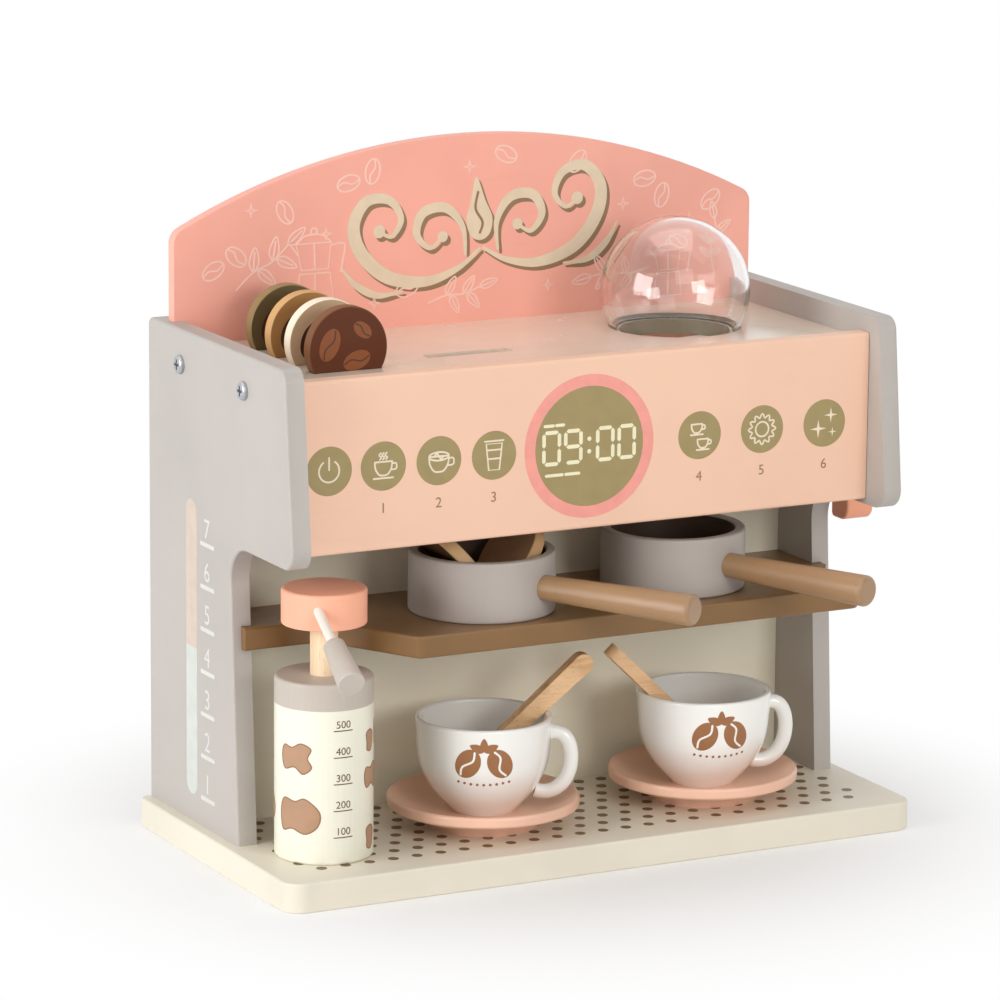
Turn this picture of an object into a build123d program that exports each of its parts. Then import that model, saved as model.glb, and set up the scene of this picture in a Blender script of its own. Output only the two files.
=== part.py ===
from build123d import *
import os
from math import cos, degrees, radians, sin, sqrt

# A wooden toy coffee maker. Millimetres, +Z up, the front faces -Y.
# The origin is the centre of the base board's underside.
# Places named *_y are measured back from the front edge of the base board,
# and heights named *_z are measured up from the top of the base board.
# Places named *_share are shares of half the clear width between the side panels.

# ---- base board ----
base_width = 340.0
base_depth = 173.0
base_thick = 14.5
base_front_round = 10.0
base_rear_round = 4.0
board_edge_round = 1.2

# ---- side panels ----
side_inset = 6.0
side_thick = 10.0
side_height = 239.0
side_rear_gap = 0.8
leg_foot_y = 70.0
leg_lean = 0.063
head_below_fascia = 2.6
head_bottom_y = 9.2
head_top_y = 18.7
head_top_round = 7.0
head_bottom_round = 9.0
head_inner_round = 17.0
side_rear_round = 4.0
housing_depth = 5.0
housing_gap = 0.1

# ---- header board with the arched top ----
header_thick = 6.0
header_rear_inset = 12.8
header_below_top = 21.0
header_above_panels = 81.2
header_arch_radius = 343.0
header_corner_round = 8.0
header_edge_round = 0.6

# ---- back panel behind the shelf and the cups ----
back_front_y = 110.5
back_thick = 6.0

# ---- top board with its slots and the opening under the dome ----
top_below_panels = 12.0
top_thick = 10.0
token_slot_gap = 0.4
token_slot_spare = 0.3
drop_slot_from_bowl = 16.5
drop_slot_gap = 0.75
drop_slot_spare = 2.5
dome_ledge = 5.2
dome_seat_depth = 2.0
dome_seat_gap = 0.4

# ---- fascia ----
fascia_front_y = 27.0
fascia_thick = 9.5
fascia_over_bowls = 13.0
fascia_above_top = 3.7
fascia_end_gap = 0.3
fascia_edge_round = 1.5

# ---- shelf ----
shelf_top_z = 105.5
shelf_thick = 10.9
shelf_front_y = 22.3
shelf_proud_of_legs = 5.0
shelf_right_gap = 4.0
shelf_bay_slant = 61.0
shelf_bay_from_bottle = 23.7
shelf_corner_round = 5.0
shelf_notch_gap = 0.15

# ---- screws and dowels ----
screw_radius = 2.0
screw_hole_gap = 0.05
screw_tip_chamfer = 1.2
recess_width = 1.2
recess_span_share = 1.1
recess_depth_share = 0.6
side_screw_from_fascia = 25.5
side_screw_from_header = 19.7
side_screw_length = 38.0
side_screw_head_radius = 4.5
side_screw_head_height = 2.4
side_screw_head_round = 1.3
base_screw_from_foot = 18.0
base_screw_from_rear = 17.2
base_screw_length = 40.0
sunk_head_radius = 4.2
sunk_head_depth = 2.6
sunk_head_inset = 0.3
rear_screw_from_side = 44.0
shelf_screw_length = 30.0
header_screw_length = 22.0
dowel_radius = 3.0
dowel_length = 26.0
dowel_from_fascia_edge = 22.0
dowel_in_panel = 7.0
dowel_end_gap = 0.2

# ---- dome ----
dome_share = 0.566
dome_from_header = 52.1
dome_radius = 36.8
dome_wall = 2.0
dome_centre_height = 17.5

# ---- tokens ----
token_radius = 20.4
token_thick = 6.2
token_chamfer = 0.5
token_share = -0.716
token_last_from_header = 23.6
token_pitch = 21.6
token_stored = 4
token_centre_height = 10.4

# ---- portafilters ----
bowl_radius = 35.5
bowl_height = 29.5
bowl_wall = 5.0
bowl_floor = 6.0
bowl_round = 1.2
left_bowl_share = -0.251
left_bowl_back_gap = 12.5
left_handle_angle = -60.0
right_bowl_share = 0.449
right_bowl_back_gap = 7.0
right_handle_angle = -67.5
handle_length = 83.0
handle_root_radius = 6.0
handle_end_radius = 7.6
handle_end_round = 2.2
handle_height = 14.6
tenon_radius = 4.0
tenon_length = 4.0
tenon_gap = 0.05

# ---- the two tokens that lean in the left bowl ----
loose_floor_gap = 0.35
loose_middle_gap = 0.4
loose_rim_gap = 0.35

# ---- cups, saucers and spoons ----
left_set_share = -0.2565
left_set_back_gap = 6.4
left_cup_angle = -27.0
right_set_share = 0.529
right_set_back_gap = 7.4
right_cup_angle = -14.0
saucer_radius = 46.6
saucer_foot_radius = 26.0
saucer_foot_width = 4.0
saucer_foot_height = 4.4
saucer_hollow = 1.0
saucer_floor_z = 7.5
saucer_rim_z = 15.0
saucer_rim_thick = 5.4
saucer_rim_round = 1.4
saucer_belly = 2.0
saucer_well_spare = 4.3
cup_rim_radius = 33.2
cup_foot_radius = 15.7
cup_height = 45.4
cup_wall = 3.0
cup_floor = 4.0
cup_floor_round = 2.0
cup_lip_rise = 1.2
cup_swell = [(0.0, 0.0), (0.1, 0.236), (0.2, 0.463), (0.32, 0.667), (0.45, 0.829), (0.67, 0.945), (1, 1)]
cup_handle_radius = 3.6
cup_handle_path = [(-4.0, 0.81), (4.7, 0.815), (8.9, 0.52), (2.9, 0.24), (-8.5, 0.2)]
spoon_end_width = 9.8
spoon_neck_width = 7.6
spoon_thick = 6.2
spoon_bowl_width = 15.0
spoon_bowl_length = 22.0
spoon_dish_radius = 18.2
spoon_dish_depth = 1.8
spoon_gap = 0.4
left_spoon_angle = -10.0
left_spoon_slope = 41.0
left_spoon_roll = 92.0
left_spoon_out = 28.1
right_spoon_angle = 172.0
right_spoon_slope = 44.5
right_spoon_roll = 0.0
right_spoon_out = 26.0
spoon_in = 50.0

# ---- milk bottle with its pump ----
bottle_from_panel = 22.9
bottle_leg_gap = 2.2
bottle_radius = 23.5
bottle_height = 74.5
bottle_bore_radius = 10.5
bottle_bore_depth = 42.0
bottle_round = 1.5
lid_height = 12.8
lid_round = 1.5
lid_plug_height = 7.0
lid_plug_gap = 0.08
stem_radius = 6.6
stem_gap = 0.06
stem_collar_gap = 1.5
stem_collar_height = 4.0
stem_above_lid = 24.7
pump_rest_gap = 0.3
spring_wire_radius = 0.8
spring_gap = 0.6
spring_turns = 7
knob_radius = 20.3
knob_height = 17.1
knob_round = 1.6
stem_in_knob = 10.0
spout_angle = -122.3
spout_heading = -98.7
spout_slope = 22.9
spout_height = 9.2
spout_rod_radius = 2.3
spout_rod_length = 42.0
spout_rod_in = 9.0
spout_sleeve_start_radius = 5.1
spout_sleeve_end_radius = 6.5
spout_sleeve_length = 30.0
spout_sleeve_start = 26.0
spout_sleeve_round = 0.7

# ---- side lever ----
lever_pivot_y = 70.4
lever_pivot_z = 168.0
lever_reach = 39.7
lever_half_width = 7.9
lever_thick = 15.0
lever_front_round = 7.0
lever_rear_round = 2.6
lever_edge_round = 1.2
lever_screw_radius = 2.5
lever_screw_gap = 0.06
lever_screw_head_radius = 5.0
lever_screw_head_height = 3.0
lever_screw_head_round = 1.2
lever_screw_tip_gap = 0.5
lever_head_gap = 0.3
lever_screw_in = 8.0
lever_washer_radius = 7.0
lever_washer_thick = 1.0
lever_washer_gap = 0.2

# ---- how far a cutting tool runs past the face it opens ----
cut_past = 1.0

# A cylinder or cone with this alignment starts at the origin and runs along +Z.
standing = (Align.CENTER, Align.CENTER, Align.MIN)

# ---- derived places ----
front = -base_depth / 2
floor = base_thick
side_out = base_width / 2 - side_inset
side_in = side_out - side_thick
side_rear = base_depth - side_rear_gap
housing = side_in + housing_depth
header_rear_y = side_rear - header_rear_inset
header_front_y = header_rear_y - header_thick
back_rear_y = back_front_y + back_thick
fascia_rear_y = fascia_front_y + fascia_thick
top_z = side_height - top_below_panels
top_under = top_z - top_thick
shelf_under = shelf_top_z - shelf_thick
bowl_rim_z = shelf_top_z + bowl_height
fascia_bottom_z = bowl_rim_z + fascia_over_bowls
fascia_top_z = top_z + fascia_above_top
head_bottom_z = fascia_bottom_z - head_below_fascia
header_bottom_z = top_under - header_below_top
screw_mid_z = top_z - top_thick / 2
hole_radius = screw_radius + screw_hole_gap

dome_x = dome_share * side_in
dome_y = header_front_y - dome_from_header
dome_foot_radius = sqrt(dome_radius**2 - dome_centre_height**2)
token_x = token_share * side_in
left_bowl_x = left_bowl_share * side_in
left_bowl_y = back_front_y - left_bowl_back_gap - bowl_radius
right_bowl_x = right_bowl_share * side_in
right_bowl_y = back_front_y - right_bowl_back_gap - bowl_radius
left_set_x = left_set_share * side_in
left_set_y = back_front_y - left_set_back_gap - saucer_radius
right_set_x = right_set_share * side_in
right_set_y = back_front_y - right_set_back_gap - saucer_radius
bottle_x = -side_in + bottle_from_panel
bottle_y = leg_foot_y - bottle_leg_gap - bottle_radius


def block(x0, x1, y0, y1, z0, z1):
    """A box between two corners; y from the base's front edge, z from the base's top."""
    size = Box(x1 - x0, y1 - y0, z1 - z0)
    return Pos((x0 + x1) / 2, front + (y0 + y1) / 2, floor + (z0 + z1) / 2) * size


def rod(radius, start, end):
    """A cylinder between two points given in the same places as block."""
    a = Vector(start[0], front + start[1], floor + start[2])
    b = Vector(end[0], front + end[1], floor + end[2])
    plane = Plane(origin=a, z_dir=b - a)
    return plane * Cylinder(radius, (b - a).length, align=standing)


def at(x, y, z):
    return Pos(x, front + y, floor + z)


def turned(points, joins):
    """A solid of revolution about Z. joins names an arc or line after each point."""
    edges = []
    for index, kind in enumerate(joins):
        a = points[index]
        b = points[(index + 1) % len(points)]
        if kind is None:
            edges.append(Line((a[0], 0, a[1]), (b[0], 0, b[1])))
        else:
            edges.append(ThreePointArc((a[0], 0, a[1]), (kind[0], 0, kind[1]), (b[0], 0, b[1])))
    return revolve(make_face(edges), Axis.Z)


def cross_recess(head_radius, head_height):
    """The cross cut into a screw head, its open side at Z = 0 facing +Z."""
    depth = head_height * recess_depth_share
    span = head_radius * recess_span_share
    tool = Box(span, recess_width, depth) + Box(recess_width, span, depth)
    return Pos(0, 0, -depth / 2) * tool


def pan_screw(length, head_radius, head_height):
    """A pan-head screw along -Z, the underside of its head at Z = 0."""
    head = Pos(0, 0, head_height / 2) * Cylinder(head_radius, head_height)
    head = fillet(head.edges().group_by(Axis.Z)[-1], side_screw_head_round)
    shank = Pos(0, 0, -length / 2) * Cylinder(screw_radius, length)
    shank = chamfer(shank.edges().group_by(Axis.Z)[0], screw_tip_chamfer)
    return head + shank - Pos(0, 0, head_height) * cross_recess(head_radius, head_height)


def sunk_screw(length, inset):
    """A countersunk screw along +Z, its flat head inset from Z = 0."""
    head = Pos(0, 0, inset + sunk_head_depth / 2) * Cone(sunk_head_radius, screw_radius, sunk_head_depth)
    shank = Pos(0, 0, (inset + length) / 2) * Cylinder(screw_radius, length - inset)
    shank = chamfer(shank.edges().group_by(Axis.Z)[-1], screw_tip_chamfer)
    recess = Rot(180, 0, 0) * cross_recess(sunk_head_radius, sunk_head_depth)
    return head + shank - Pos(0, 0, inset) * recess


def sunk_hole(length):
    """The hole and countersink for sunk_screw, open at Z = 0."""
    gap = screw_hole_gap
    sink_depth = sunk_head_depth + sunk_head_inset
    slope = (sunk_head_radius - screw_radius) / sunk_head_depth
    wide = sunk_head_radius + gap + slope * sunk_head_inset
    sink = Pos(0, 0, sink_depth / 2) * Cone(wide, screw_radius + gap, sink_depth)
    bore = Pos(0, 0, length / 2) * Cylinder(screw_radius + gap, length)
    return sink + bore


# ---- where every screw and dowel goes ----
def side_screw_places(side):
    """Heads on the outer face, shanks into the ends of the top board."""
    spin = 90 if side > 0 else -90
    ys = (fascia_rear_y + side_screw_from_fascia, header_front_y - side_screw_from_header)
    return [at(side * side_out, y, screw_mid_z) * Rot(0, spin, 0) for y in ys]


def base_screw_places(side):
    middle = side * (side_in + side_out) / 2
    ys = (leg_foot_y + base_screw_from_foot, side_rear - base_screw_from_rear)
    return [Pos(middle, front + y, 0) for y in ys]


def rear_screw_places(rear_y, z):
    """Heads on a board's rear face, one in the middle and one near each side, shanks to the front."""
    outer = side_in - rear_screw_from_side
    return [at(x, rear_y, z) * Rot(90, 0, 0) for x in (-outer, 0, outer)]


shelf_mid_z = shelf_top_z - shelf_thick / 2
shelf_screw_places = rear_screw_places(back_rear_y, shelf_mid_z)
header_screw_places = rear_screw_places(header_rear_y, screw_mid_z)
fascia_mid_y = (fascia_front_y + fascia_rear_y) / 2
dowel_outer_x = side_in + dowel_in_panel
dowel_inner_x = dowel_outer_x - dowel_length
fascia_dowel_zs = (fascia_bottom_z + dowel_from_fascia_edge, fascia_top_z - dowel_from_fascia_edge)
fascia_dowel_ends = [
    ((side * dowel_inner_x, fascia_mid_y, z), (side * dowel_outer_x, fascia_mid_y, z))
    for side in (-1, 1)
    for z in fascia_dowel_zs
]


# ---- base board ----
def make_base():
    plan = Rectangle(base_width, base_depth)
    front_corners = plan.vertices().group_by(Axis.Y)[0]
    plan = fillet(front_corners, base_front_round)
    rear_corners = plan.vertices().group_by(Axis.Y)[-1]
    plan = fillet(rear_corners, base_rear_round)
    board = extrude(plan, base_thick)
    board = fillet(board.edges().group_by(Axis.Z)[-1], board_edge_round)
    board = chamfer(board.edges().group_by(Axis.Z)[0], board_edge_round / 2)
    for side in (-1, 1):
        for place in base_screw_places(side):
            board -= place * sunk_hole(base_thick + cut_past)
    return board


# ---- side panels ----
def leg_front(z):
    return leg_foot_y + leg_lean * z


def make_side(side):
    corners = [
        (side_rear, 0),
        (side_rear, side_height),
        (head_top_y, side_height),
        (head_bottom_y, head_bottom_z),
        (leg_front(head_bottom_z), head_bottom_z),
        (leg_foot_y, 0),
    ]
    rounds = {1: side_rear_round, 2: head_top_round, 3: head_bottom_round, 4: head_inner_round}
    points = [(front + y, floor + z) for y, z in corners]
    profile = make_face(Polyline(*points, close=True))
    for index, radius in rounds.items():
        corner = Vector(points[index][0], points[index][1], 0)
        near = profile.vertices().sort_by(lambda v: (Vector(v.X, v.Y, v.Z) - corner).length)[0]
        profile = fillet(near, radius)
    panel = extrude(Plane.YZ * profile, side_thick)
    panel = Pos(side_in if side > 0 else -side_out, 0, 0) * panel
    outer_x = side * side_out
    outer_rim = panel.edges().filter_by(lambda e: abs(e.center().X - outer_x) < side_thick / 2)
    panel = fillet(outer_rim.filter_by(lambda e: e.center().Z > floor + side_thick), board_edge_round)
    lo, hi = sorted((side * (side_in - cut_past), side * housing))
    header_ys = (header_front_y - housing_gap, header_rear_y + housing_gap)
    panel -= block(lo, hi, *header_ys, header_bottom_z, side_height + cut_past)
    panel -= block(lo, hi, back_front_y, back_rear_y + housing_gap, -cut_past, top_under)
    notch_z = (shelf_under - shelf_notch_gap, shelf_top_z + shelf_notch_gap)
    panel -= block(lo, hi, 0, back_front_y + cut_past, *notch_z)
    for place in side_screw_places(side):
        panel -= place * Cylinder(hole_radius, 2 * side_thick + cut_past)
    for place in base_screw_places(side):
        panel -= place * Cylinder(hole_radius, 2 * (base_screw_length + cut_past))
    for start, end in fascia_dowel_ends:
        if start[0] * side > 0:
            deep = (end[0] + side * dowel_end_gap, end[1], end[2])
            panel -= rod(dowel_radius + screw_hole_gap, start, deep)
    if side > 0:
        mouth = (side_out + cut_past, lever_pivot_y, lever_pivot_z)
        end = (side_out - lever_screw_in, lever_pivot_y, lever_pivot_z)
        panel -= rod(lever_screw_radius + lever_screw_gap, mouth, end)
    return panel


# ---- header board ----
def make_header():
    half = housing
    low = floor + header_bottom_z
    crown = floor + side_height + header_above_panels
    centre = crown - header_arch_radius
    shoulder = centre + sqrt(header_arch_radius**2 - half**2)
    outline = [
        Line((-half, low), (half, low)),
        Line((half, low), (half, shoulder)),
        ThreePointArc((half, shoulder), (0, crown), (-half, shoulder)),
        Line((-half, shoulder), (-half, low)),
    ]
    face = make_face(outline)
    face = fillet(face.vertices().group_by(Axis.Y)[-1], header_corner_round)
    rear = Plane(origin=(0, front + header_rear_y, 0), x_dir=(1, 0, 0), z_dir=(0, -1, 0))
    board = extrude(rear * face, header_thick)
    panel_top = floor + side_height
    arch = [e for e in board.edges().filter_by(GeomType.CIRCLE) if e.center().Z > panel_top]
    board = fillet(arch, header_edge_round)
    for place in header_screw_places:
        board -= place * sunk_hole(header_thick + cut_past)
    return board


# ---- back panel ----
def make_back():
    board = block(-housing, housing, back_front_y, back_rear_y, 0, top_under)
    for place in shelf_screw_places:
        board -= place * sunk_hole(back_thick + cut_past)
    return board


# ---- top board ----
def token_y(index):
    """The stored tokens stand in a row that ends in front of the header board."""
    return header_front_y - token_last_from_header - (token_stored - 1 - index) * token_pitch


def token_place(index):
    return at(token_x, token_y(index), top_z + token_centre_height)


def make_top():
    board = block(-side_in, side_in, fascia_rear_y, header_front_y, top_under, top_z)
    half_chord = sqrt(token_radius**2 - token_centre_height**2) + token_slot_spare
    for index in range(token_stored):
        y = token_y(index)
        w = token_thick / 2 + token_slot_gap
        x0, x1 = token_x - half_chord, token_x + half_chord
        board -= block(x0, x1, y - w, y + w, top_under - cut_past, top_z + cut_past)
    half = token_radius + drop_slot_spare
    w = token_thick / 2 + drop_slot_gap
    x = left_bowl_x
    y = left_bowl_y + drop_slot_from_bowl
    board -= block(x - half, x + half, y - w, y + w, top_under - cut_past, top_z + cut_past)
    seat_radius = dome_foot_radius + dome_seat_gap
    hole = at(dome_x, dome_y, top_z) * Cylinder(seat_radius - dome_ledge, 2 * top_thick + cut_past)
    seat = at(dome_x, dome_y, top_z) * Cylinder(seat_radius, 2 * dome_seat_depth)
    board = board - hole - seat
    for side in (-1, 1):
        for place in side_screw_places(side):
            board -= place * Cylinder(hole_radius, 2 * side_screw_length + cut_past)
    for place in header_screw_places:
        board -= place * Cylinder(hole_radius, 2 * header_screw_length + cut_past)
    return board


# ---- fascia ----
def make_fascia():
    half = side_in - fascia_end_gap
    board = block(-half, half, fascia_front_y, fascia_rear_y, fascia_bottom_z, fascia_top_z)
    rim = board.edges().filter_by(Axis.X)
    board = fillet(rim, fascia_edge_round)
    for start, end in fascia_dowel_ends:
        side = 1 if start[0] > 0 else -1
        deep = (start[0] - side * dowel_end_gap, start[1], start[2])
        board -= rod(dowel_radius + screw_hole_gap, deep, end)
    return board


# ---- shelf ----
def make_shelf():
    side_front_y = leg_front(shelf_top_z) - shelf_proud_of_legs
    right_x = side_in - shelf_right_gap

    def bay_x(y):
        slant = radians(shelf_bay_slant)
        return bottle_x + (shelf_bay_from_bottle - (y - bottle_y) * cos(slant)) / sin(slant)

    corners = [
        (-housing, back_front_y),
        (-housing, side_front_y),
        (bay_x(side_front_y), side_front_y),
        (bay_x(shelf_front_y), shelf_front_y),
        (right_x, shelf_front_y),
        (right_x, side_front_y),
        (housing, side_front_y),
        (housing, back_front_y),
    ]
    plan = make_face(Polyline(*[(x, front + y) for x, y in corners], close=True))
    for index in (3, 4):
        corner = Vector(corners[index][0], front + corners[index][1], 0)
        near = plan.vertices().sort_by(lambda v: (Vector(v.X, v.Y, 0) - corner).length)[0]
        plan = fillet(near, shelf_corner_round)
    board = Pos(0, 0, floor + shelf_under) * extrude(plan, shelf_thick)
    rear = front + back_front_y
    rims = board.edges().group_by(Axis.Z)
    within = (rear - board_edge_round, side_in - board_edge_round)
    soft = [e for e in rims[0] + rims[-1] if e.center().Y < within[0] and abs(e.center().X) < within[1]]
    board = fillet(soft, board_edge_round)
    for place in shelf_screw_places:
        board -= place * Cylinder(hole_radius, 2 * shelf_screw_length + cut_past)
    return board


# ---- dome ----
def make_dome():
    low = -dome_centre_height - dome_seat_depth
    inner = dome_radius - dome_wall
    outer_low = sqrt(dome_radius**2 - low**2)
    inner_low = sqrt(inner**2 - low**2)
    mid = radians(20)
    points = [(outer_low, low), (0, dome_radius), (0, inner), (inner_low, low)]
    joins = [
        (dome_radius * cos(mid), dome_radius * sin(mid)),
        None,
        (inner * cos(mid), inner * sin(mid)),
        None,
    ]
    return at(dome_x, dome_y, top_z + dome_centre_height) * turned(points, joins)


# ---- tokens ----
def token():
    """A disc whose axis is Y, centred on the origin."""
    disc = Cylinder(token_radius, token_thick)
    disc = chamfer(disc.edges().filter_by(GeomType.CIRCLE), token_chamfer)
    return Rot(90, 0, 0) * disc


def loose_centre(lean):
    """How far out and how high a leaning token's centre is, from the middle of the bowl's floor."""
    half = token_thick / 2
    out = half * sin(lean) + loose_middle_gap / 2 + token_radius * cos(lean)
    up = loose_floor_gap + token_radius * sin(lean) + half * cos(lean)
    return out, up


def loose_reach(lean):
    """How far a leaning token reaches from the bowl's middle at the height of the rim."""
    out, up = loose_centre(lean)
    along = (bowl_height - bowl_floor - up) / sin(lean)
    if along >= token_radius:
        return out + token_radius * cos(lean)
    side = sqrt(token_radius**2 - along**2)
    return sqrt((out + along * cos(lean) + token_thick / 2 / sin(lean)) ** 2 + side**2)


def loose_lean():
    """The flattest lean at which the tokens clear the inside of the rim, found by halving."""
    limit = bowl_radius - bowl_wall - loose_rim_gap
    flat, steep = radians(25), radians(89)
    for step in range(40):
        middle = (flat + steep) / 2
        if loose_reach(middle) > limit:
            flat = middle
        else:
            steep = middle
    return steep


def make_loose(side):
    """A token that leans in the left bowl, its low edge near the middle of the floor."""
    lean = loose_lean()
    out, up = loose_centre(lean)
    place = at(left_bowl_x + side * out, left_bowl_y, shelf_top_z + bowl_floor + up)
    return place * Rot(0, -side * degrees(lean), 0) * Rot(90, 0, 0) * token()


# ---- portafilters ----
def handle_axis(angle):
    return Vector(cos(radians(angle)), sin(radians(angle)), 0)


def make_bowl(x, y, angle):
    r = bowl_radius
    inner = r - bowl_wall
    outline = [(0, 0), (r, 0), (r, bowl_height), (inner, bowl_height), (inner, bowl_floor), (0, bowl_floor)]
    bowl = turned(outline, [None] * len(outline))
    rings = bowl.edges().filter_by(GeomType.CIRCLE)
    bowl = fillet(rings, bowl_round)
    way = handle_axis(angle)
    start = way * (r - tenon_length - tenon_gap) + Vector(0, 0, handle_height)
    plane = Plane(origin=start, z_dir=way)
    bore = plane * Cylinder(tenon_radius + tenon_gap, tenon_length * 3, align=standing)
    return at(x, y, shelf_top_z) * (bowl - bore)


def make_handle(x, y, angle):
    way = handle_axis(angle)
    inside = bowl_wall
    start = way * (bowl_radius - inside) + Vector(0, 0, handle_height)
    plane = Plane(origin=start, z_dir=way)
    length = handle_length + inside
    grip = Cone(handle_root_radius, handle_end_radius, length, align=standing)
    grip = fillet(grip.edges().group_by(Axis.Z)[-1], handle_end_round)
    grip = plane * grip - Pos(0, 0, bowl_height / 2) * Cylinder(bowl_radius, bowl_height * 3)
    peg = Plane(origin=way * (bowl_radius - tenon_length) + Vector(0, 0, handle_height), z_dir=way)
    grip += peg * Cylinder(tenon_radius, 2 * tenon_length, align=standing)
    return at(x, y, shelf_top_z) * grip


# ---- saucers, cups and spoons ----
def make_saucer(x, y):
    foot = saucer_foot_radius
    edge = saucer_radius - saucer_rim_round
    rim_low = saucer_rim_z - saucer_rim_thick
    outline = [
        (0, saucer_hollow),
        (foot - saucer_foot_width, saucer_hollow),
        (foot - saucer_foot_width + saucer_hollow, 0),
        (foot, 0),
        (foot + saucer_hollow, saucer_foot_height),
        (edge, rim_low),
        (saucer_radius, rim_low + saucer_rim_round),
        (saucer_radius, saucer_rim_z - saucer_rim_round),
        (edge, saucer_rim_z),
        (cup_foot_radius + saucer_well_spare, saucer_floor_z),
        (0, saucer_floor_z),
    ]
    corner = saucer_rim_round * (1 - sqrt(0.5))
    joins = [None] * len(outline)
    joins[4] = ((foot + edge) / 2, (saucer_foot_height + rim_low) / 2 - saucer_belly / 2)
    joins[5] = (saucer_radius - corner, rim_low + corner)
    joins[7] = (saucer_radius - corner, saucer_rim_z - corner)
    joins[8] = ((foot + edge) / 2, (saucer_floor_z + saucer_rim_z) / 2 - saucer_belly)
    return at(x, y, 0) * turned(outline, joins)


def cup_profile(inset):
    """The cup's side as radius and height above its own foot, from foot to rim, moved in by inset."""
    spread = cup_rim_radius - cup_foot_radius
    return [(cup_foot_radius + out * spread - inset, up * cup_height) for up, out in cup_swell]


def cup_solid():
    outer = cup_profile(0.0)
    side = Spline(*[(r, 0, z) for r, z in outer])
    inner_floor = cup_floor
    inner_rows = [(r, z) for r, z in cup_profile(cup_wall) if z > inner_floor + cup_floor_round]
    inner_rows.insert(0, (cup_foot_radius - cup_wall, inner_floor))
    inner = Spline(*[(r, 0, z) for r, z in inner_rows])
    rim = ThreePointArc(
        (outer[-1][0], 0, outer[-1][1]),
        (cup_rim_radius - cup_wall / 2, 0, cup_height + cup_lip_rise),
        (inner_rows[-1][0], 0, inner_rows[-1][1]),
    )
    edges = [
        Line((0, 0, 0), (outer[0][0], 0, 0)),
        side,
        rim,
        inner,
        Line((inner_rows[0][0], 0, inner_floor), (0, 0, inner_floor)),
        Line((0, 0, inner_floor), (0, 0, 0)),
    ]
    body = revolve(make_face(edges), Axis.Z)
    inside_edges = [
        Line((0, 0, inner_floor), (inner_rows[0][0], 0, inner_floor)),
        inner,
        Line((inner_rows[-1][0], 0, inner_rows[-1][1]), (0, 0, inner_rows[-1][1])),
        Line((0, 0, inner_rows[-1][1]), (0, 0, inner_floor)),
    ]
    inside = revolve(make_face(inside_edges), Axis.Z)
    path = Spline(*[(cup_rim_radius + out, 0, cup_height * up) for out, up in cup_handle_path])
    ring = sweep(Plane(origin=path @ 0, z_dir=path % 0) * Circle(cup_handle_radius), path)
    return body + (ring - inside)


def make_cup(x, y, angle):
    return at(x, y, saucer_floor_z) * Rot(0, 0, angle) * cup_solid()


def spoon_solid(length):
    """A spoon along +X from its bowl at the origin, its back at Z = 0."""
    end_radius = spoon_end_width / 2
    neck_x = spoon_bowl_length - end_radius
    end_x = length - end_radius
    neck = spoon_neck_width / 2
    corners = [(neck_x, -neck), (end_x, -end_radius), (end_x, end_radius), (neck_x, neck)]
    plan = make_face(Polyline(*corners, close=True))
    stick = extrude(plan, spoon_thick) + Pos(end_x, 0, spoon_thick / 2) * Cylinder(end_radius, spoon_thick)
    paddle = extrude(Ellipse(spoon_bowl_length / 2, spoon_bowl_width / 2), spoon_thick)
    paddle = Pos(spoon_bowl_length / 2, 0, 0) * paddle
    dish_z = spoon_thick + spoon_dish_radius - spoon_dish_depth
    dish = Pos(spoon_bowl_length / 2, 0, dish_z) * Sphere(spoon_dish_radius)
    return stick + paddle - dish


def make_spoon(x, y, angle, slope, turn, out):
    """The spoon slants over the rounded lip of the cup, turned about its own length."""
    half_wall = cup_wall / 2
    lip_radius = (half_wall**2 + cup_lip_rise**2) / (2 * cup_lip_rise)
    lip_centre_z = saucer_floor_z + cup_height + cup_lip_rise - lip_radius
    roll = radians(turn)
    at_lip = (spoon_in - spoon_bowl_length) / (spoon_in + out - spoon_bowl_length)
    half_width = (spoon_neck_width + (spoon_end_width - spoon_neck_width) * at_lip) / 2
    edge = half_width * sin(roll) + spoon_thick / 2 * abs(cos(roll))
    lift = (lip_radius + spoon_gap + edge) / cos(radians(slope))
    side = 1 if cos(radians(angle)) > 0 else -1
    spoon = Pos(-spoon_in, 0, -spoon_thick / 2) * spoon_solid(spoon_in + out)
    spoon = Rot(0, -slope, 0) * Rot(side * turn, 0, 0) * spoon
    spoon = Pos(cup_rim_radius - half_wall, 0, lip_centre_z + lift) * spoon
    return at(x, y, 0) * Rot(0, 0, angle) * spoon


# ---- milk bottle ----
def make_bottle():
    body = Pos(0, 0, bottle_height / 2) * Cylinder(bottle_radius, bottle_height)
    body = fillet(body.edges().group_by(Axis.Z)[0], bottle_round)
    bore = Pos(0, 0, bottle_height) * Cylinder(bottle_bore_radius, 2 * bottle_bore_depth)
    return at(bottle_x, bottle_y, 0) * (body - bore)


def make_lid():
    cap = Pos(0, 0, lid_height / 2) * Cylinder(bottle_radius, lid_height)
    cap = fillet(cap.edges().group_by(Axis.Z)[-1], lid_round)
    plug_radius = bottle_bore_radius - lid_plug_gap
    plug = Pos(0, 0, -lid_plug_height / 2) * Cylinder(plug_radius, lid_plug_height)
    bore = Cylinder(stem_radius + stem_gap, 4 * lid_height)
    return at(bottle_x, bottle_y, bottle_height) * (cap + plug - bore)


collar_top = -lid_plug_height - pump_rest_gap
collar_low = collar_top - stem_collar_height


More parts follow.
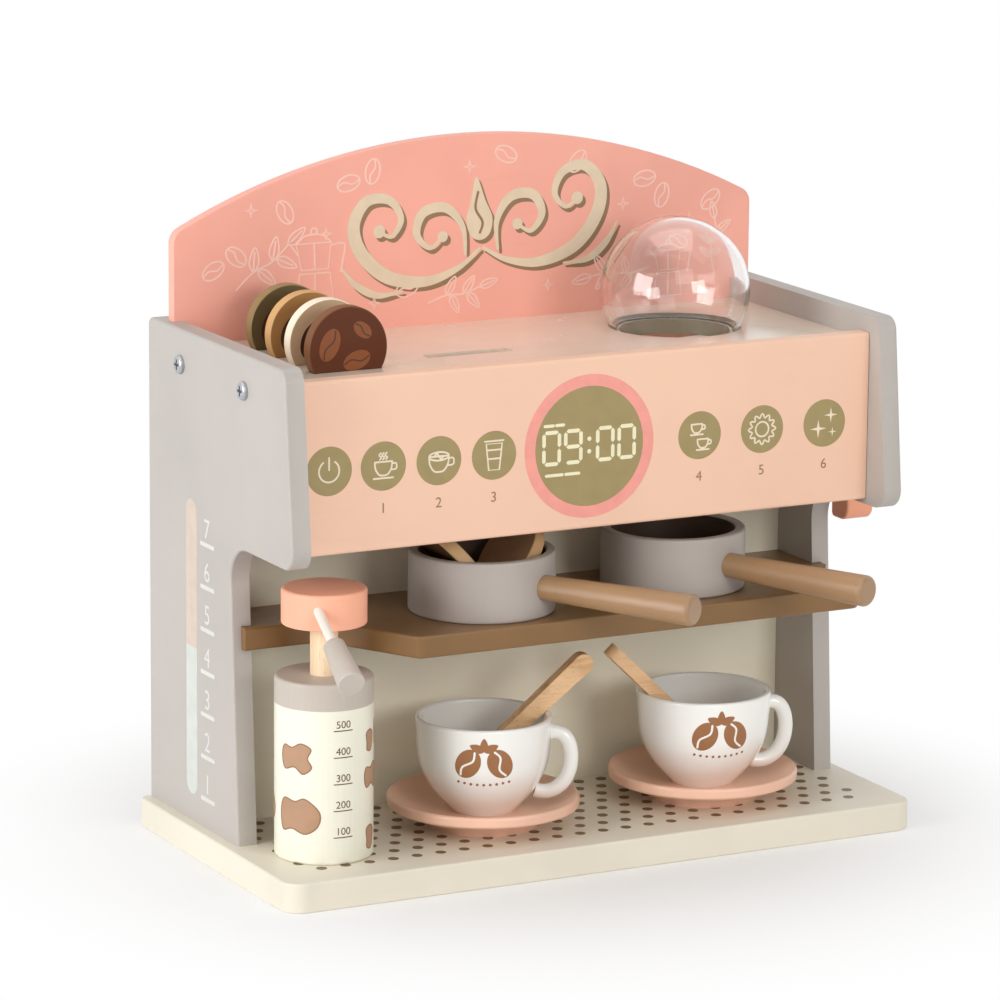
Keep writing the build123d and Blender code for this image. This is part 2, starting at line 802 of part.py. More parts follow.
def make_stem():
    """The dowel slides in the lid; its collar under the lid stops it at the top."""
    top = lid_height + stem_above_lid + stem_in_knob
    stem = Pos(0, 0, (top + collar_low) / 2) * Cylinder(stem_radius, top - collar_low)
    collar_radius = bottle_bore_radius - stem_collar_gap
    collar = Pos(0, 0, (collar_top + collar_low) / 2) * Cylinder(collar_radius, stem_collar_height)
    return at(bottle_x, bottle_y, bottle_height) * (stem + collar)


def make_spring():
    """A coil spring that stands on the bottom of the bottle's bore and lifts the collar."""
    radius = bottle_bore_radius - spring_gap - spring_wire_radius
    low = -bottle_bore_depth + spring_wire_radius
    height = collar_low - spring_wire_radius - low
    coil = Helix(pitch=height / spring_turns, height=height, radius=radius)
    wire = sweep(Plane(origin=coil @ 0, z_dir=coil % 0) * Circle(spring_wire_radius), coil, is_frenet=True)
    return at(bottle_x, bottle_y, bottle_height + low) * wire


knob_under_z = bottle_height + lid_height + stem_above_lid


def spout_frame():
    """The point on the knob's side where the spout rod comes out, and its direction."""
    a = radians(spout_angle)
    start = Vector(
        bottle_x + knob_radius * cos(a),
        front + bottle_y + knob_radius * sin(a),
        floor + knob_under_z + spout_height,
    )
    h = radians(spout_heading)
    s = radians(spout_slope)
    way = Vector(cos(h) * cos(s), sin(h) * cos(s), -sin(s))
    return start, way


def make_knob():
    knob = Pos(0, 0, knob_height / 2) * Cylinder(knob_radius, knob_height)
    knob = fillet(knob.edges().group_by(Axis.Z)[-1], knob_round)
    knob = fillet(knob.edges().group_by(Axis.Z)[0], knob_round / 2)
    socket = Pos(0, 0, stem_in_knob / 2) * Cylinder(stem_radius, stem_in_knob)
    knob = at(bottle_x, bottle_y, knob_under_z) * (knob - socket)
    start, way = spout_frame()
    plane = Plane(origin=start - way * spout_rod_in, z_dir=way)
    bore = plane * Cylinder(spout_rod_radius, spout_rod_in * 3, align=standing)
    return knob - bore


def make_spout_rod():
    start, way = spout_frame()
    plane = Plane(origin=start - way * spout_rod_in, z_dir=way)
    length = spout_rod_in + spout_rod_length
    return plane * Cylinder(spout_rod_radius, length, align=standing)


def make_spout_sleeve():
    start, way = spout_frame()
    plane = Plane(origin=start + way * spout_sleeve_start, z_dir=way)
    taper = (spout_sleeve_start_radius, spout_sleeve_end_radius)
    sleeve = Cone(*taper, spout_sleeve_length, align=standing)
    sleeve = fillet(sleeve.edges().filter_by(GeomType.CIRCLE), spout_sleeve_round)
    bore = Cylinder(spout_rod_radius, spout_rod_length - spout_sleeve_start, align=standing)
    return plane * (sleeve - bore)


# ---- side lever ----
lever_near_x = side_out + lever_washer_thick + 2 * lever_washer_gap
lever_sink = lever_screw_head_height + lever_head_gap


def make_lever():
    """A bar that hangs from a screw on the right side panel."""
    half = lever_half_width
    outline = [
        Line((-half, 0), (-half, -lever_reach)),
        Line((-half, -lever_reach), (half, -lever_reach)),
        Line((half, -lever_reach), (half, 0)),
        ThreePointArc((half, 0), (0, half), (-half, 0)),
    ]
    plan = make_face(outline)
    low_corners = plan.vertices().group_by(Axis.Y)[0].sort_by(Axis.X)
    plan = fillet(low_corners[0], lever_front_round)
    plan = fillet(plan.vertices().group_by(Axis.Y)[0].sort_by(Axis.X)[-1], lever_rear_round)
    bar = extrude(Plane.YZ * plan, lever_thick)
    bar = fillet(bar.edges().group_by(Axis.X)[0] + bar.edges().group_by(Axis.X)[-1], lever_edge_round)
    bar = at(lever_near_x, lever_pivot_y, lever_pivot_z) * bar
    far = lever_near_x + lever_thick
    bore_radius = lever_screw_radius + lever_screw_gap
    mouth = (far + cut_past, lever_pivot_y, lever_pivot_z)
    bore = rod(bore_radius, (side_out, lever_pivot_y, lever_pivot_z), mouth)
    sink_radius = lever_screw_head_radius + lever_head_gap
    sink = rod(sink_radius, (far - lever_sink, lever_pivot_y, lever_pivot_z), mouth)
    return bar - bore - sink


def make_lever_screw():
    far = lever_near_x + lever_thick
    head_x = far - lever_sink + lever_head_gap
    tip_x = side_out - lever_screw_in + lever_screw_tip_gap
    height = lever_screw_head_height
    tip = (tip_x, lever_pivot_y, lever_pivot_z)
    shank = rod(lever_screw_radius, tip, (head_x, lever_pivot_y, lever_pivot_z))
    head = Pos(0, 0, height / 2) * Cylinder(lever_screw_head_radius, height)
    head = fillet(head.edges().group_by(Axis.Z)[-1], lever_screw_head_round)
    head -= Pos(0, 0, height) * cross_recess(lever_screw_head_radius, height)
    return shank + at(head_x, lever_pivot_y, lever_pivot_z) * Rot(0, 90, 0) * head


def make_lever_washer():
    bore = Cylinder(lever_screw_radius + lever_washer_gap, lever_washer_thick + cut_past)
    ring = Cylinder(lever_washer_radius, lever_washer_thick) - bore
    return at(side_out + lever_washer_thick / 2, lever_pivot_y, lever_pivot_z) * Rot(0, 90, 0) * ring


# ---- fastener groups ----
def grouped(solids, label):
    return Compound(label=label, children=solids)


def side_screws():
    screw = pan_screw(side_screw_length, side_screw_head_radius, side_screw_head_height)
    return [place * screw for side in (-1, 1) for place in side_screw_places(side)]


def base_screws():
    screw = sunk_screw(base_screw_length, sunk_head_inset)
    return [place * screw for side in (-1, 1) for place in base_screw_places(side)]


def fascia_dowels():
    return [rod(dowel_radius, start, end) for start, end in fascia_dowel_ends]


left_spoon = (left_spoon_angle, left_spoon_slope, left_spoon_roll, left_spoon_out)
right_spoon = (right_spoon_angle, right_spoon_slope, right_spoon_roll, right_spoon_out)
nodes = {
    "base_board": make_base(),
    "left_side_panel": make_side(-1),
    "right_side_panel": make_side(1),
    "header_board": make_header(),
    "back_panel": make_back(),
    "top_board": make_top(),
    "fascia_panel": make_fascia(),
    "shelf": make_shelf(),
    "side_screws": grouped(side_screws(), "side_screws"),
    "base_screws": grouped(base_screws(), "base_screws"),
    "shelf_screws": grouped(
        [p * sunk_screw(shelf_screw_length, sunk_head_inset) for p in shelf_screw_places], "shelf_screws"
    ),
    "header_screws": grouped(
        [p * sunk_screw(header_screw_length, sunk_head_inset) for p in header_screw_places], "header_screws"
    ),
    "fascia_dowels": grouped(fascia_dowels(), "fascia_dowels"),
    "dome": make_dome(),
    "left_filter_bowl": make_bowl(left_bowl_x, left_bowl_y, left_handle_angle),
    "left_filter_handle": make_handle(left_bowl_x, left_bowl_y, left_handle_angle),
    "right_filter_bowl": make_bowl(right_bowl_x, right_bowl_y, right_handle_angle),
    "right_filter_handle": make_handle(right_bowl_x, right_bowl_y, right_handle_angle),
    "left_saucer": make_saucer(left_set_x, left_set_y),
    "right_saucer": make_saucer(right_set_x, right_set_y),
    "left_cup": make_cup(left_set_x, left_set_y, left_cup_angle),
    "right_cup": make_cup(right_set_x, right_set_y, right_cup_angle),
    "left_spoon": make_spoon(left_set_x, left_set_y, *left_spoon),
    "right_spoon": make_spoon(right_set_x, right_set_y, *right_spoon),
    "bottle_body": make_bottle(),
    "bottle_lid": make_lid(),
    "pump_stem": make_stem(),
    "pump_spring": make_spring(),
    "pump_knob": make_knob(),
    "spout_rod": make_spout_rod(),
    "spout_sleeve": make_spout_sleeve(),
    "side_lever": make_lever(),
    "lever_screw": make_lever_screw(),
    "lever_washer": make_lever_washer(),
    "token_5": make_loose(-1),
    "token_6": make_loose(1),
}
for number in range(token_stored):
    nodes[f"token_{number + 1}"] = token_place(number) * token()

os.makedirs("parts", exist_ok=True)
for name, shape in nodes.items():
    export_step(shape, f"parts/{name}.step")
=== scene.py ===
"""Finishes, prints, floor, light and camera of the toy coffee maker, in the CAD's frame."""
from math import atan2, cos, hypot, pi, radians, sin

import bmesh
import bpy
from mathutils import Matrix, Vector
from mathutils.bvhtree import BVHTree

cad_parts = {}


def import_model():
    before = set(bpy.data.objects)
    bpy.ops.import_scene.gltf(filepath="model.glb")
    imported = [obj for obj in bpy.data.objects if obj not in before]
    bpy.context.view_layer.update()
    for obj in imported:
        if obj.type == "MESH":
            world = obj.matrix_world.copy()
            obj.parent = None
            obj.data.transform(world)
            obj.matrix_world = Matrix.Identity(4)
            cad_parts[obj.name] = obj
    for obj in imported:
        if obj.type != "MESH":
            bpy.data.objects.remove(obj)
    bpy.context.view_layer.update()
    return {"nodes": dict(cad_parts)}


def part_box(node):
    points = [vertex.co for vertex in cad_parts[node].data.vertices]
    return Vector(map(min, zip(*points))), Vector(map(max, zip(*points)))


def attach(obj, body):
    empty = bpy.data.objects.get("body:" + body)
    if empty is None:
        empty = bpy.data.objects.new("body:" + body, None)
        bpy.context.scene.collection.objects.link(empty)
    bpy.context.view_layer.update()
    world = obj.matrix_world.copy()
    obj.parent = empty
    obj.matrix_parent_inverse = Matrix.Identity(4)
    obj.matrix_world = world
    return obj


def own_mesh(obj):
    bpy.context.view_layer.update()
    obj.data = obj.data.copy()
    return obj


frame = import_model()
nodes = frame["nodes"]

MM = 0.001
base_low, base_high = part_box("base_board")
FRONT = base_low.y
TOP = base_high.z


def spot(x, y, z):
    """A point from millimetres: y back from the base's front edge, z up from the base's top."""
    return Vector((x * MM, FRONT + y * MM, TOP + z * MM))


def in_mm(point):
    """The millimetres that spot takes for a point in metres."""
    return Vector((point.x / MM, (point.y - FRONT) / MM, (point.z - TOP) / MM))


def nodes_axis(node):
    """The centre of a node's box in metres, which lies on the upright axis of a round node."""
    low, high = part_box(node)
    return (low + high) / 2


def low_corner(node):
    """The lowest corner of a node's box, in millimetres."""
    return in_mm(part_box(node)[0])


def in_scene(name, data):
    """A new object of the scene."""
    made = bpy.data.objects.new(name, data)
    bpy.context.scene.collection.objects.link(made)
    return made


def add_node(tree, kind, **values):
    """A new node of a node tree, with its properties set."""
    made = tree.nodes.new(kind)
    for key, value in values.items():
        setattr(made, key, value)
    return made


# --- colours
def srgb(r, g, b):
    """A colour as seen on a screen, 0 to 255, turned into Blender's linear values."""
    def linear(v):
        v = v / 255
        return v / 12.92 if v <= 0.04045 else ((v + 0.055) / 1.055) ** 2.4

    return (linear(r), linear(g), linear(b), 1.0)


CREAM_BASE = srgb(232, 225, 208)
GREY_PANEL = srgb(184, 178, 172)
CREAM_BACK = srgb(249, 242, 222)
SALMON_HEADER = srgb(250, 176, 158)
CREAM_TOP = srgb(232, 216, 198)
# Bare wood darkened as painted shade, for the wall of the hole under the dome.
BARE_WOOD_AND_SHADE = srgb(140, 126, 104)
PEACH_FASCIA = srgb(240, 198, 172)
BROWN_SHELF = srgb(134, 100, 60)
BROWN_HANDLE = srgb(159, 124, 88)
GREY_BOWL = srgb(176, 167, 160)
BOWL_INSIDE = srgb(92, 74, 62)
WHITE_CUP = srgb(250, 250, 246)
PEACH_SAUCER = srgb(242, 194, 168)
CORAL_KNOB = srgb(252, 180, 150)
GREY_LID = srgb(194, 184, 173)
CREAM_BOTTLE = srgb(237, 235, 218)
STEM_WOOD = (srgb(242, 218, 184), srgb(230, 198, 154))
SPOON_WOOD = (srgb(240, 198, 152), srgb(215, 167, 119))
ROD_PAINT = srgb(236, 228, 218)
CORAL_LEVER = srgb(252, 172, 138)
DOT_BROWN = srgb(120, 96, 66)
OLIVE = srgb(160, 142, 94)
RING_PINK = srgb(243, 160, 147)
ICON_CREAM = srgb(238, 222, 196)
DIGIT_CREAM = srgb(242, 236, 200)
LABEL_BROWN = srgb(150, 118, 82)
ART_PALE = srgb(252, 208, 194)
SWASH_CREAM = srgb(232, 212, 184)
SWASH_SHADE = srgb(150, 116, 84)
GAUGE_PEACH = srgb(207, 190, 175)
GAUGE_AQUA = srgb(206, 211, 204)
GAUGE_WHITE = srgb(214, 215, 208)
BLOTCH_BROWN = srgb(179, 140, 110)
BLOTCH_EDGE = srgb(146, 106, 80)
SCALE_BROWN = srgb(96, 62, 46)
CUP_PRINT = srgb(160, 108, 66)
BEAN_ORANGE = srgb(134, 70, 18)
# Dark brown for the bean creases, and for the painted shade on the tokens behind the first.
BEAN_AND_SHADE_DARK = srgb(70, 40, 22)
ZINC = srgb(196, 198, 202)
WASHER_DARK = srgb(70, 66, 62)
DOME_TINTS = (srgb(250, 250, 249), srgb(255, 255, 255))
TOKEN_RIM_AND_FACE = {
    "token_1": (srgb(120, 78, 46), srgb(92, 46, 22)),
    "token_2": (srgb(246, 234, 212), srgb(206, 172, 138)),
    "token_3": (srgb(212, 170, 116), srgb(168, 124, 76)),
    "token_4": (srgb(150, 128, 88), srgb(104, 88, 58)),
    "token_5": (srgb(214, 176, 130), srgb(120, 86, 58)),
    "token_6": (srgb(206, 168, 122), srgb(168, 130, 96)),
}


# --- materials
# Noise scales that several finishes share, and the depths of their bumps in metres.
CLOUDS = 14
GRAIN_LINES = 220
GRAIN_RIDGES = 300
SPECKS = 2600
WAVES = 60
PEEL = 950
GLOSS = 45
PITS = 1300
WAVE_DEPTH = 0.0006
GRAIN_DEPTH = 0.0002
PEEL_DEPTH = 0.00018
PIT_DEPTH = 0.0004

# How far the noise is squeezed so that grain runs along an axis.
ALONG_X = (0.06, 1, 1)
ALONG_Z = (1, 1, 0.06)
NO_GRAIN = (1, 1, 1)

# How far a paint's roughness strays below and above its mean.
GLOSSIER = 0.06
DULLER = 0.08

COAT_ROUGHNESS = 0.12
PLASTIC_IOR = 1.46
BOWL_WALL = 5.0  # millimetres


class Build:
    """A new material's node tree, with short calls for the nodes used here."""

    def __init__(self, name, roughness, specular=0.5, coat=0.0):
        self.material = bpy.data.materials.new(name)
        self.material.use_nodes = True
        self.tree = self.material.node_tree
        self.shader = self.tree.nodes["Principled BSDF"]
        self.shader.inputs["Roughness"].default_value = roughness
        self.shader.inputs["Specular IOR Level"].default_value = specular
        self.shader.inputs["Coat Weight"].default_value = coat
        self.shader.inputs["Coat Roughness"].default_value = COAT_ROUGHNESS
        self.place = self.node("ShaderNodeTexCoord").outputs["Object"]

    def node(self, kind, **values):
        return add_node(self.tree, kind, **values)

    def link(self, a, b):
        self.tree.links.new(a, b)

    def scaled(self, scale):
        mapping = self.node("ShaderNodeMapping")
        mapping.inputs["Scale"].default_value = scale
        self.link(self.place, mapping.inputs["Vector"])
        return mapping.outputs["Vector"]

    def noise(self, scale, detail=4.0, roughness=0.55, stretch=(1, 1, 1), distortion=0.0):
        made = self.node("ShaderNodeTexNoise")
        made.inputs["Scale"].default_value = scale
        made.inputs["Detail"].default_value = detail
        made.inputs["Roughness"].default_value = roughness
        made.inputs["Distortion"].default_value = distortion
        self.link(self.scaled(stretch), made.inputs["Vector"])
        return made.outputs["Fac"]

    def ramp(self, value, stops):
        made = self.node("ShaderNodeValToRGB")
        ramp = made.color_ramp
        while len(ramp.elements) < len(stops):
            ramp.elements.new(0.5)
        for element, (at, colour) in zip(ramp.elements, stops):
            element.position = at
            element.color = colour
        self.link(value, made.inputs["Fac"])
        return made.outputs["Color"]

    def mask(self, value, start, end):
        made = self.node("ShaderNodeMapRange", interpolation_type="SMOOTHSTEP")
        made.inputs["From Min"].default_value = start
        made.inputs["From Max"].default_value = end
        self.link(value, made.inputs["Value"])
        return made.outputs["Result"]

    def mix(self, fac, a, b):
        made = self.node("ShaderNodeMix", data_type="RGBA")
        self.put(made.inputs[0], fac)
        self.put(made.inputs[6], a)
        self.put(made.inputs[7], b)
        return made.outputs[2]

    def math(self, operation, a, b=0.0):
        made = self.node("ShaderNodeMath", operation=operation)
        self.put(made.inputs[0], a)
        self.put(made.inputs[1], b)
        return made.outputs[0]

    def times(self, a, b):
        return self.math("MULTIPLY", a, b)

    def put(self, socket, value):
        if isinstance(value, bpy.types.NodeSocket):
            self.link(value, socket)
        else:
            socket.default_value = value

    def bump(self, heights):
        """heights is a list of (value, strength, distance in metres)."""
        normal = None
        for value, strength, distance in heights:
            made = self.node("ShaderNodeBump")
            made.inputs["Strength"].default_value = strength
            made.inputs["Distance"].default_value = distance
            self.link(value, made.inputs["Height"])
            if normal:
                self.link(normal, made.inputs["Normal"])
            normal = made.outputs["Normal"]
        self.link(normal, self.shader.inputs["Normal"])

    def colour(self, value):
        self.put(self.shader.inputs["Base Color"], value)

    def rough(self, value, low, high):
        made = self.node("ShaderNodeMapRange")
        made.inputs["To Min"].default_value = low
        made.inputs["To Max"].default_value = high
        self.link(value, made.inputs["Value"])
        self.link(made.outputs["Result"], self.shader.inputs["Roughness"])


def shade(colour, factor):
    """The colour made lighter or darker."""
    return tuple(min(1.0, c * factor) for c in colour[:3]) + (1.0,)


def worn_and_highlit_paint(m, colour, stretch, change=0.05):
    """The colour of sprayed paint: soft clouds, faint grain lines, and edges a little lighter as light
    wear and painted highlight.
    """
    clouds = m.noise(CLOUDS, detail=3)
    grain = m.noise(GRAIN_LINES, detail=5, stretch=stretch)
    base = m.mix(m.mask(clouds, 0.3, 0.7), shade(colour, 1 - change), shade(colour, 1 + change / 2))
    base = m.mix(m.times(m.mask(grain, 0.52, 0.78), 0.25), base, shade(colour, 0.90))
    specks = m.noise(SPECKS, detail=1)
    base = m.mix(m.times(m.mask(specks, 0.70, 0.78), 0.12), base, shade(colour, 0.72))
    # Sharp edges painted lighter: partly light wear, partly a painted highlight where the edges catch the
    # light.
    ends = m.node("ShaderNodeNewGeometry").outputs["Pointiness"]
    worn_and_highlit_edges = m.times(m.mask(ends, 0.52, 0.60), 0.4)
    return m.mix(worn_and_highlit_edges, base, shade(colour, 1.1))


def from_axis(m, centre):
    """How far a place is from the upright axis through centre, and its height."""
    split = m.node("ShaderNodeSeparateXYZ")
    m.link(m.place, split.inputs[0])
    dx = m.math("SUBTRACT", split.outputs[0], centre.x)
    dy = m.math("SUBTRACT", split.outputs[1], centre.y)
    square = m.math("ADD", m.times(dx, dx), m.times(dy, dy))
    return m.math("SQRT", square), split.outputs[2]


def painted(name, colour, roughness, stretch, change=0.05, coat=0.0, texture=1.0,
            sparkle=0.0, shine=0.45, hole=None):
    """Sprayed paint over wood: orange peel, telegraphed grain and slightly uneven gloss.

    sparkle roughens the clear coat alone, so that it glints in small points.
    hole is the centre and radius of a round hole whose bare wall is painted dark, as painted shade inside
    the hole."""
    m = Build(name, roughness, specular=shine, coat=coat)
    coats = worn_and_highlit_paint(m, colour, stretch, change)
    if hole:
        centre, radius = hole
        facing = m.node("ShaderNodeSeparateXYZ")
        m.link(m.node("ShaderNodeTexCoord").outputs["Normal"], facing.inputs[0])
        upright = m.math("LESS_THAN", m.math("ABSOLUTE", facing.outputs[2]), 0.5)
        within = m.math("LESS_THAN", from_axis(m, centre)[0], radius)
        # The hole's wall: bare wood painted dark as the shade inside the hole.
        shaded_bare_wall = worn_and_highlit_paint(m, BARE_WOOD_AND_SHADE, stretch, change)
        coats = m.mix(m.times(upright, within), coats, shaded_bare_wall)
    m.colour(coats)
    m.bump([
        (m.noise(WAVES, detail=2), 0.10 * texture, WAVE_DEPTH),
        (m.noise(GRAIN_RIDGES, detail=6, stretch=stretch), 0.14 * texture, GRAIN_DEPTH),
        (m.noise(PEEL, detail=2), 0.16 * texture, PEEL_DEPTH),
    ])
    m.rough(m.noise(GLOSS), roughness - GLOSSIER, roughness + DULLER)
    if sparkle:
        pits = m.node("ShaderNodeBump")
        pits.inputs["Strength"].default_value = sparkle
        pits.inputs["Distance"].default_value = PIT_DEPTH
        m.link(m.noise(PITS, detail=2, roughness=0.7), pits.inputs["Height"])
        m.link(pits.outputs["Normal"], m.shader.inputs["Coat Normal"])
    return m.material


def natural_wood(name, light, dark, along, rings=70):
    """Bare oiled wood: growth bands, fibres along the grain and small open pores."""
    m = Build(name, 0.5)
    squeeze = tuple(0.05 if axis == along else 1.0 for axis in "XYZ")
    bands = m.noise(rings, detail=2, stretch=squeeze, distortion=0.6)
    fibres = m.noise(900, detail=6, roughness=0.7, stretch=squeeze)
    base = m.ramp(bands, [(0.30, dark), (0.48, light), (0.62, shade(light, 1.04)), (0.80, dark)])
    base = m.mix(m.times(m.mask(fibres, 0.45, 0.75), 0.45), base, shade(dark, 0.86))
    pores = m.noise(2200, detail=1, stretch=tuple(0.12 if axis == along else 1.0 for axis in "XYZ"))
    hole = m.mask(pores, 0.66, 0.74)
    base = m.mix(m.times(hole, 0.55), base, shade(dark, 0.62))
    m.colour(base)
    m.bump([(fibres, 0.22, 0.0003), (m.times(hole, -1.0), 0.3, 0.0002)])
    m.rough(bands, 0.44, 0.60)
    return m.material


def glazed(name, colour):
    """Smooth white glaze, a little uneven in depth, with a faint waviness."""
    m = Build(name, 0.16, coat=0.6)
    clouds = m.noise(22, detail=3)
    specks = m.noise(1800, detail=1)
    base = m.mix(m.mask(clouds, 0.3, 0.7), shade(colour, 0.97), colour)
    base = m.mix(m.times(m.mask(specks, 0.74, 0.80), 0.10), base, shade(colour, 0.80))
    m.colour(base)
    m.bump([(m.noise(55, detail=2), 0.10, 0.0005), (m.noise(500, detail=1), 0.05, 0.00008)])
    m.rough(clouds, 0.12, 0.22)
    return m.material


def steel(name, colour, roughness):
    """Zinc-plated steel with fine scratches."""
    m = Build(name, roughness)
    m.shader.inputs["Metallic"].default_value = 1.0
    scratches = m.noise(1500, detail=4, stretch=(1, 0.1, 1))
    m.colour(m.mix(m.mask(scratches, 0.4, 0.7), shade(colour, 0.82), colour))
    m.bump([(scratches, 0.15, 0.0001)])
    m.rough(scratches, roughness - 0.08, roughness + 0.12)
    return m.material


def clear_plastic(name):
    """Blown clear plastic with faint flow waves and a light haze of dust."""
    m = Build(name, 0.02)
    m.shader.inputs["IOR"].default_value = PLASTIC_IOR
    m.shader.inputs["Transmission Weight"].default_value = 1.0
    m.colour(m.mix(m.noise(30, detail=2), *DOME_TINTS))
    m.bump([(m.noise(34, detail=2), 0.12, 0.0012)])
    dust = m.noise(900, detail=3)
    m.rough(m.mask(dust, 0.66, 0.80), 0.01, 0.10)
    return m.material


def printed(name, colour, under=0.45):
    """Screen-printed ink: nearly flat, a touch uneven, with tiny pinholes of thin ink."""
    m = Build(name, under)
    thin = m.noise(1600, detail=3)
    patches = m.noise(120, detail=2)
    base = m.mix(m.mask(patches, 0.3, 0.7), shade(colour, 0.96), shade(colour, 1.03))
    base = m.mix(m.times(m.mask(thin, 0.68, 0.80), 0.35), base, shade(colour, 1.25))
    m.colour(base)
    m.bump([(thin, 0.08, 0.00005)])
    m.rough(patches, under - 0.05, under + 0.05)
    return m.material


def uneven_coat(m, roughness, peel):
    """Waves and orange peel in a paint's surface, and a slightly uneven gloss."""
    m.bump([(m.noise(WAVES), 0.1, WAVE_DEPTH), (m.noise(PEEL, detail=2), peel, PEEL_DEPTH)])
    m.rough(m.noise(GLOSS), roughness - GLOSSIER, roughness + DULLER)


def bowl_paint(name, node):
    """Grey paint outside, dark brown inside the bowl."""
    roughness = 0.42
    m = Build(name, roughness)
    low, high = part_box(node)
    upright_grain = (1, 1, 0.1)
    outer = worn_and_highlit_paint(m, GREY_BOWL, upright_grain)
    inner = worn_and_highlit_paint(m, BOWL_INSIDE, upright_grain)
    overlap = 0.35 * MM
    below_bowl = 2 * MM
    bare_lip = 1 * MM
    inner_radius = (high.x - low.x) / 2 - BOWL_WALL * MM
    radius, height = from_axis(m, nodes_axis(node))
    inside = m.math("LESS_THAN", radius, inner_radius + overlap)
    above = m.math("GREATER_THAN", height, low.z + below_bowl)
    below = m.math("LESS_THAN", height, high.z - bare_lip)
    where = m.times(m.times(inside, above), below)
    m.colour(m.mix(where, outer, inner))
    uneven_coat(m, roughness, peel=0.16)
    return m.material


def face_axis(node):
    """The direction that a token's two flat faces look in."""
    areas = {}
    for polygon in nodes[node].data.polygons:
        n = polygon.normal
        if n.y > 0 or (abs(n.y) < 1e-3 and n.x > 0):
            n = -n
        key = (round(n.x, 2), round(n.y, 2), round(n.z, 2))
        areas[key] = areas.get(key, 0) + polygon.area
    return Vector(max(areas, key=areas.get)).normalized()


def token_paint(name, node, rim, face):
    """A wooden disc with one paint on its rim and another on its two faces."""
    roughness = 0.4
    m = Build(name, roughness, specular=0.22)
    axis = face_axis(node)
    turn = m.node("ShaderNodeVectorMath", operation="DOT_PRODUCT")
    m.link(m.node("ShaderNodeTexCoord").outputs["Normal"], turn.inputs[0])
    turn.inputs[1].default_value = axis
    flat = m.math("GREATER_THAN", m.math("ABSOLUTE", turn.outputs["Value"]), 0.9)
    m.colour(m.mix(flat, worn_and_highlit_paint(m, rim, (1, 0.1, 1)), worn_and_highlit_paint(m, face, (0.1, 1, 1))))
    uneven_coat(m, roughness, peel=0.18)
    return m.material


def dress(material, *names):
    """Gives CAD nodes their finish."""
    for name in names:
        slots = nodes[name].data.materials
        slots.clear()
        slots.append(material)


def dress_everything():
    """Gives every CAD node its finish."""
    dress(painted("base_cream", CREAM_BASE, 0.40, ALONG_X), "base_board")
    dress(painted("panel_grey", GREY_PANEL, 0.44, ALONG_Z), "left_side_panel", "right_side_panel")
    dress(painted("back_cream", CREAM_BACK, 0.40, ALONG_X), "back_panel")
    dress(painted("header_salmon", SALMON_HEADER, 0.42, ALONG_X), "header_board")
    dome_low, dome_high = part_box("dome")
    hole = (nodes_axis("dome"), (dome_high.x - dome_low.x) / 2)
    long_grain = (0.03, 1, 1)
    top = painted("top_gloss_cream", CREAM_TOP, 0.24, long_grain, coat=0.5, texture=1.3, hole=hole)
    dress(top, "top_board")
    dress(painted("fascia_peach", PEACH_FASCIA, 0.42, ALONG_X), "fascia_panel")
    brown = painted(
        "varnished_brown", BROWN_SHELF, 0.34, ALONG_X,
        change=0.10, coat=0.3, texture=1.4, sparkle=0.25, shine=0.25,
    )
    dress(brown, "shelf")
    short_grain = (0.5, 0.3, 1)
    handle = painted(
        "handle_brown", BROWN_HANDLE, 0.40, short_grain, change=0.08, coat=0.65, sparkle=0.7, shine=0.3,
    )
    dress(handle, "left_filter_handle", "right_filter_handle")
    for side in ("left", "right"):
        dress(bowl_paint(f"{side}_bowl_grey", f"{side}_filter_bowl"), f"{side}_filter_bowl")
    dress(glazed("cup_white", WHITE_CUP), "left_cup", "right_cup")
    dress(painted("saucer_peach", PEACH_SAUCER, 0.36, NO_GRAIN, coat=0.25), "left_saucer", "right_saucer")
    dress(natural_wood("spoon_wood", *SPOON_WOOD, along="X", rings=160), "left_spoon", "right_spoon")
    dress(painted("bottle_cream", CREAM_BOTTLE, 0.36, ALONG_Z, coat=0.2), "bottle_body")
    dress(painted("lid_grey", GREY_LID, 0.44, NO_GRAIN), "bottle_lid", "spout_sleeve")
    dress(painted("rod_paint", ROD_PAINT, 0.5, NO_GRAIN, texture=2.0), "spout_rod")
    dress(natural_wood("stem_beech", *STEM_WOOD, along="Z", rings=120), "pump_stem")
    dress(painted("knob_coral", CORAL_KNOB, 0.46, NO_GRAIN), "pump_knob")
    dress(painted("lever_coral", CORAL_LEVER, 0.42, ALONG_Z), "side_lever")
    dress(
        steel("zinc_steel", ZINC, 0.30),
        "side_screws", "base_screws", "shelf_screws", "header_screws", "lever_screw", "pump_spring",
    )
    dress(painted("washer_fibre", WASHER_DARK, 0.6, NO_GRAIN), "lever_washer")
    dress(natural_wood("dowel_beech", *STEM_WOOD, along="X"), "fascia_dowels")
    dress(clear_plastic("dome_clear"), "dome")
    for node, (rim, face) in TOKEN_RIM_AND_FACE.items():
        dress(token_paint(f"{node}_paint", node, rim, face), node)


def shorten_spring():
    """Gives the coil spring a mesh of its own."""
    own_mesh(nodes["pump_spring"])


# --- flat shapes, in millimetres
INK = 0.06
INK_STEP = 0.0015
SAME = 1e-6


def circle(x, y, radius, count, start=0.0, sweep=2 * pi):
    """The points of a circle, or of an arc that starts and sweeps by angles in radians."""
    closed = abs(sweep - 2 * pi) < SAME
    steps = count if closed else count + 1
    angles = [start + sweep * i / count for i in range(steps)]
    return [(x + radius * cos(a), y + radius * sin(a)) for a in angles]


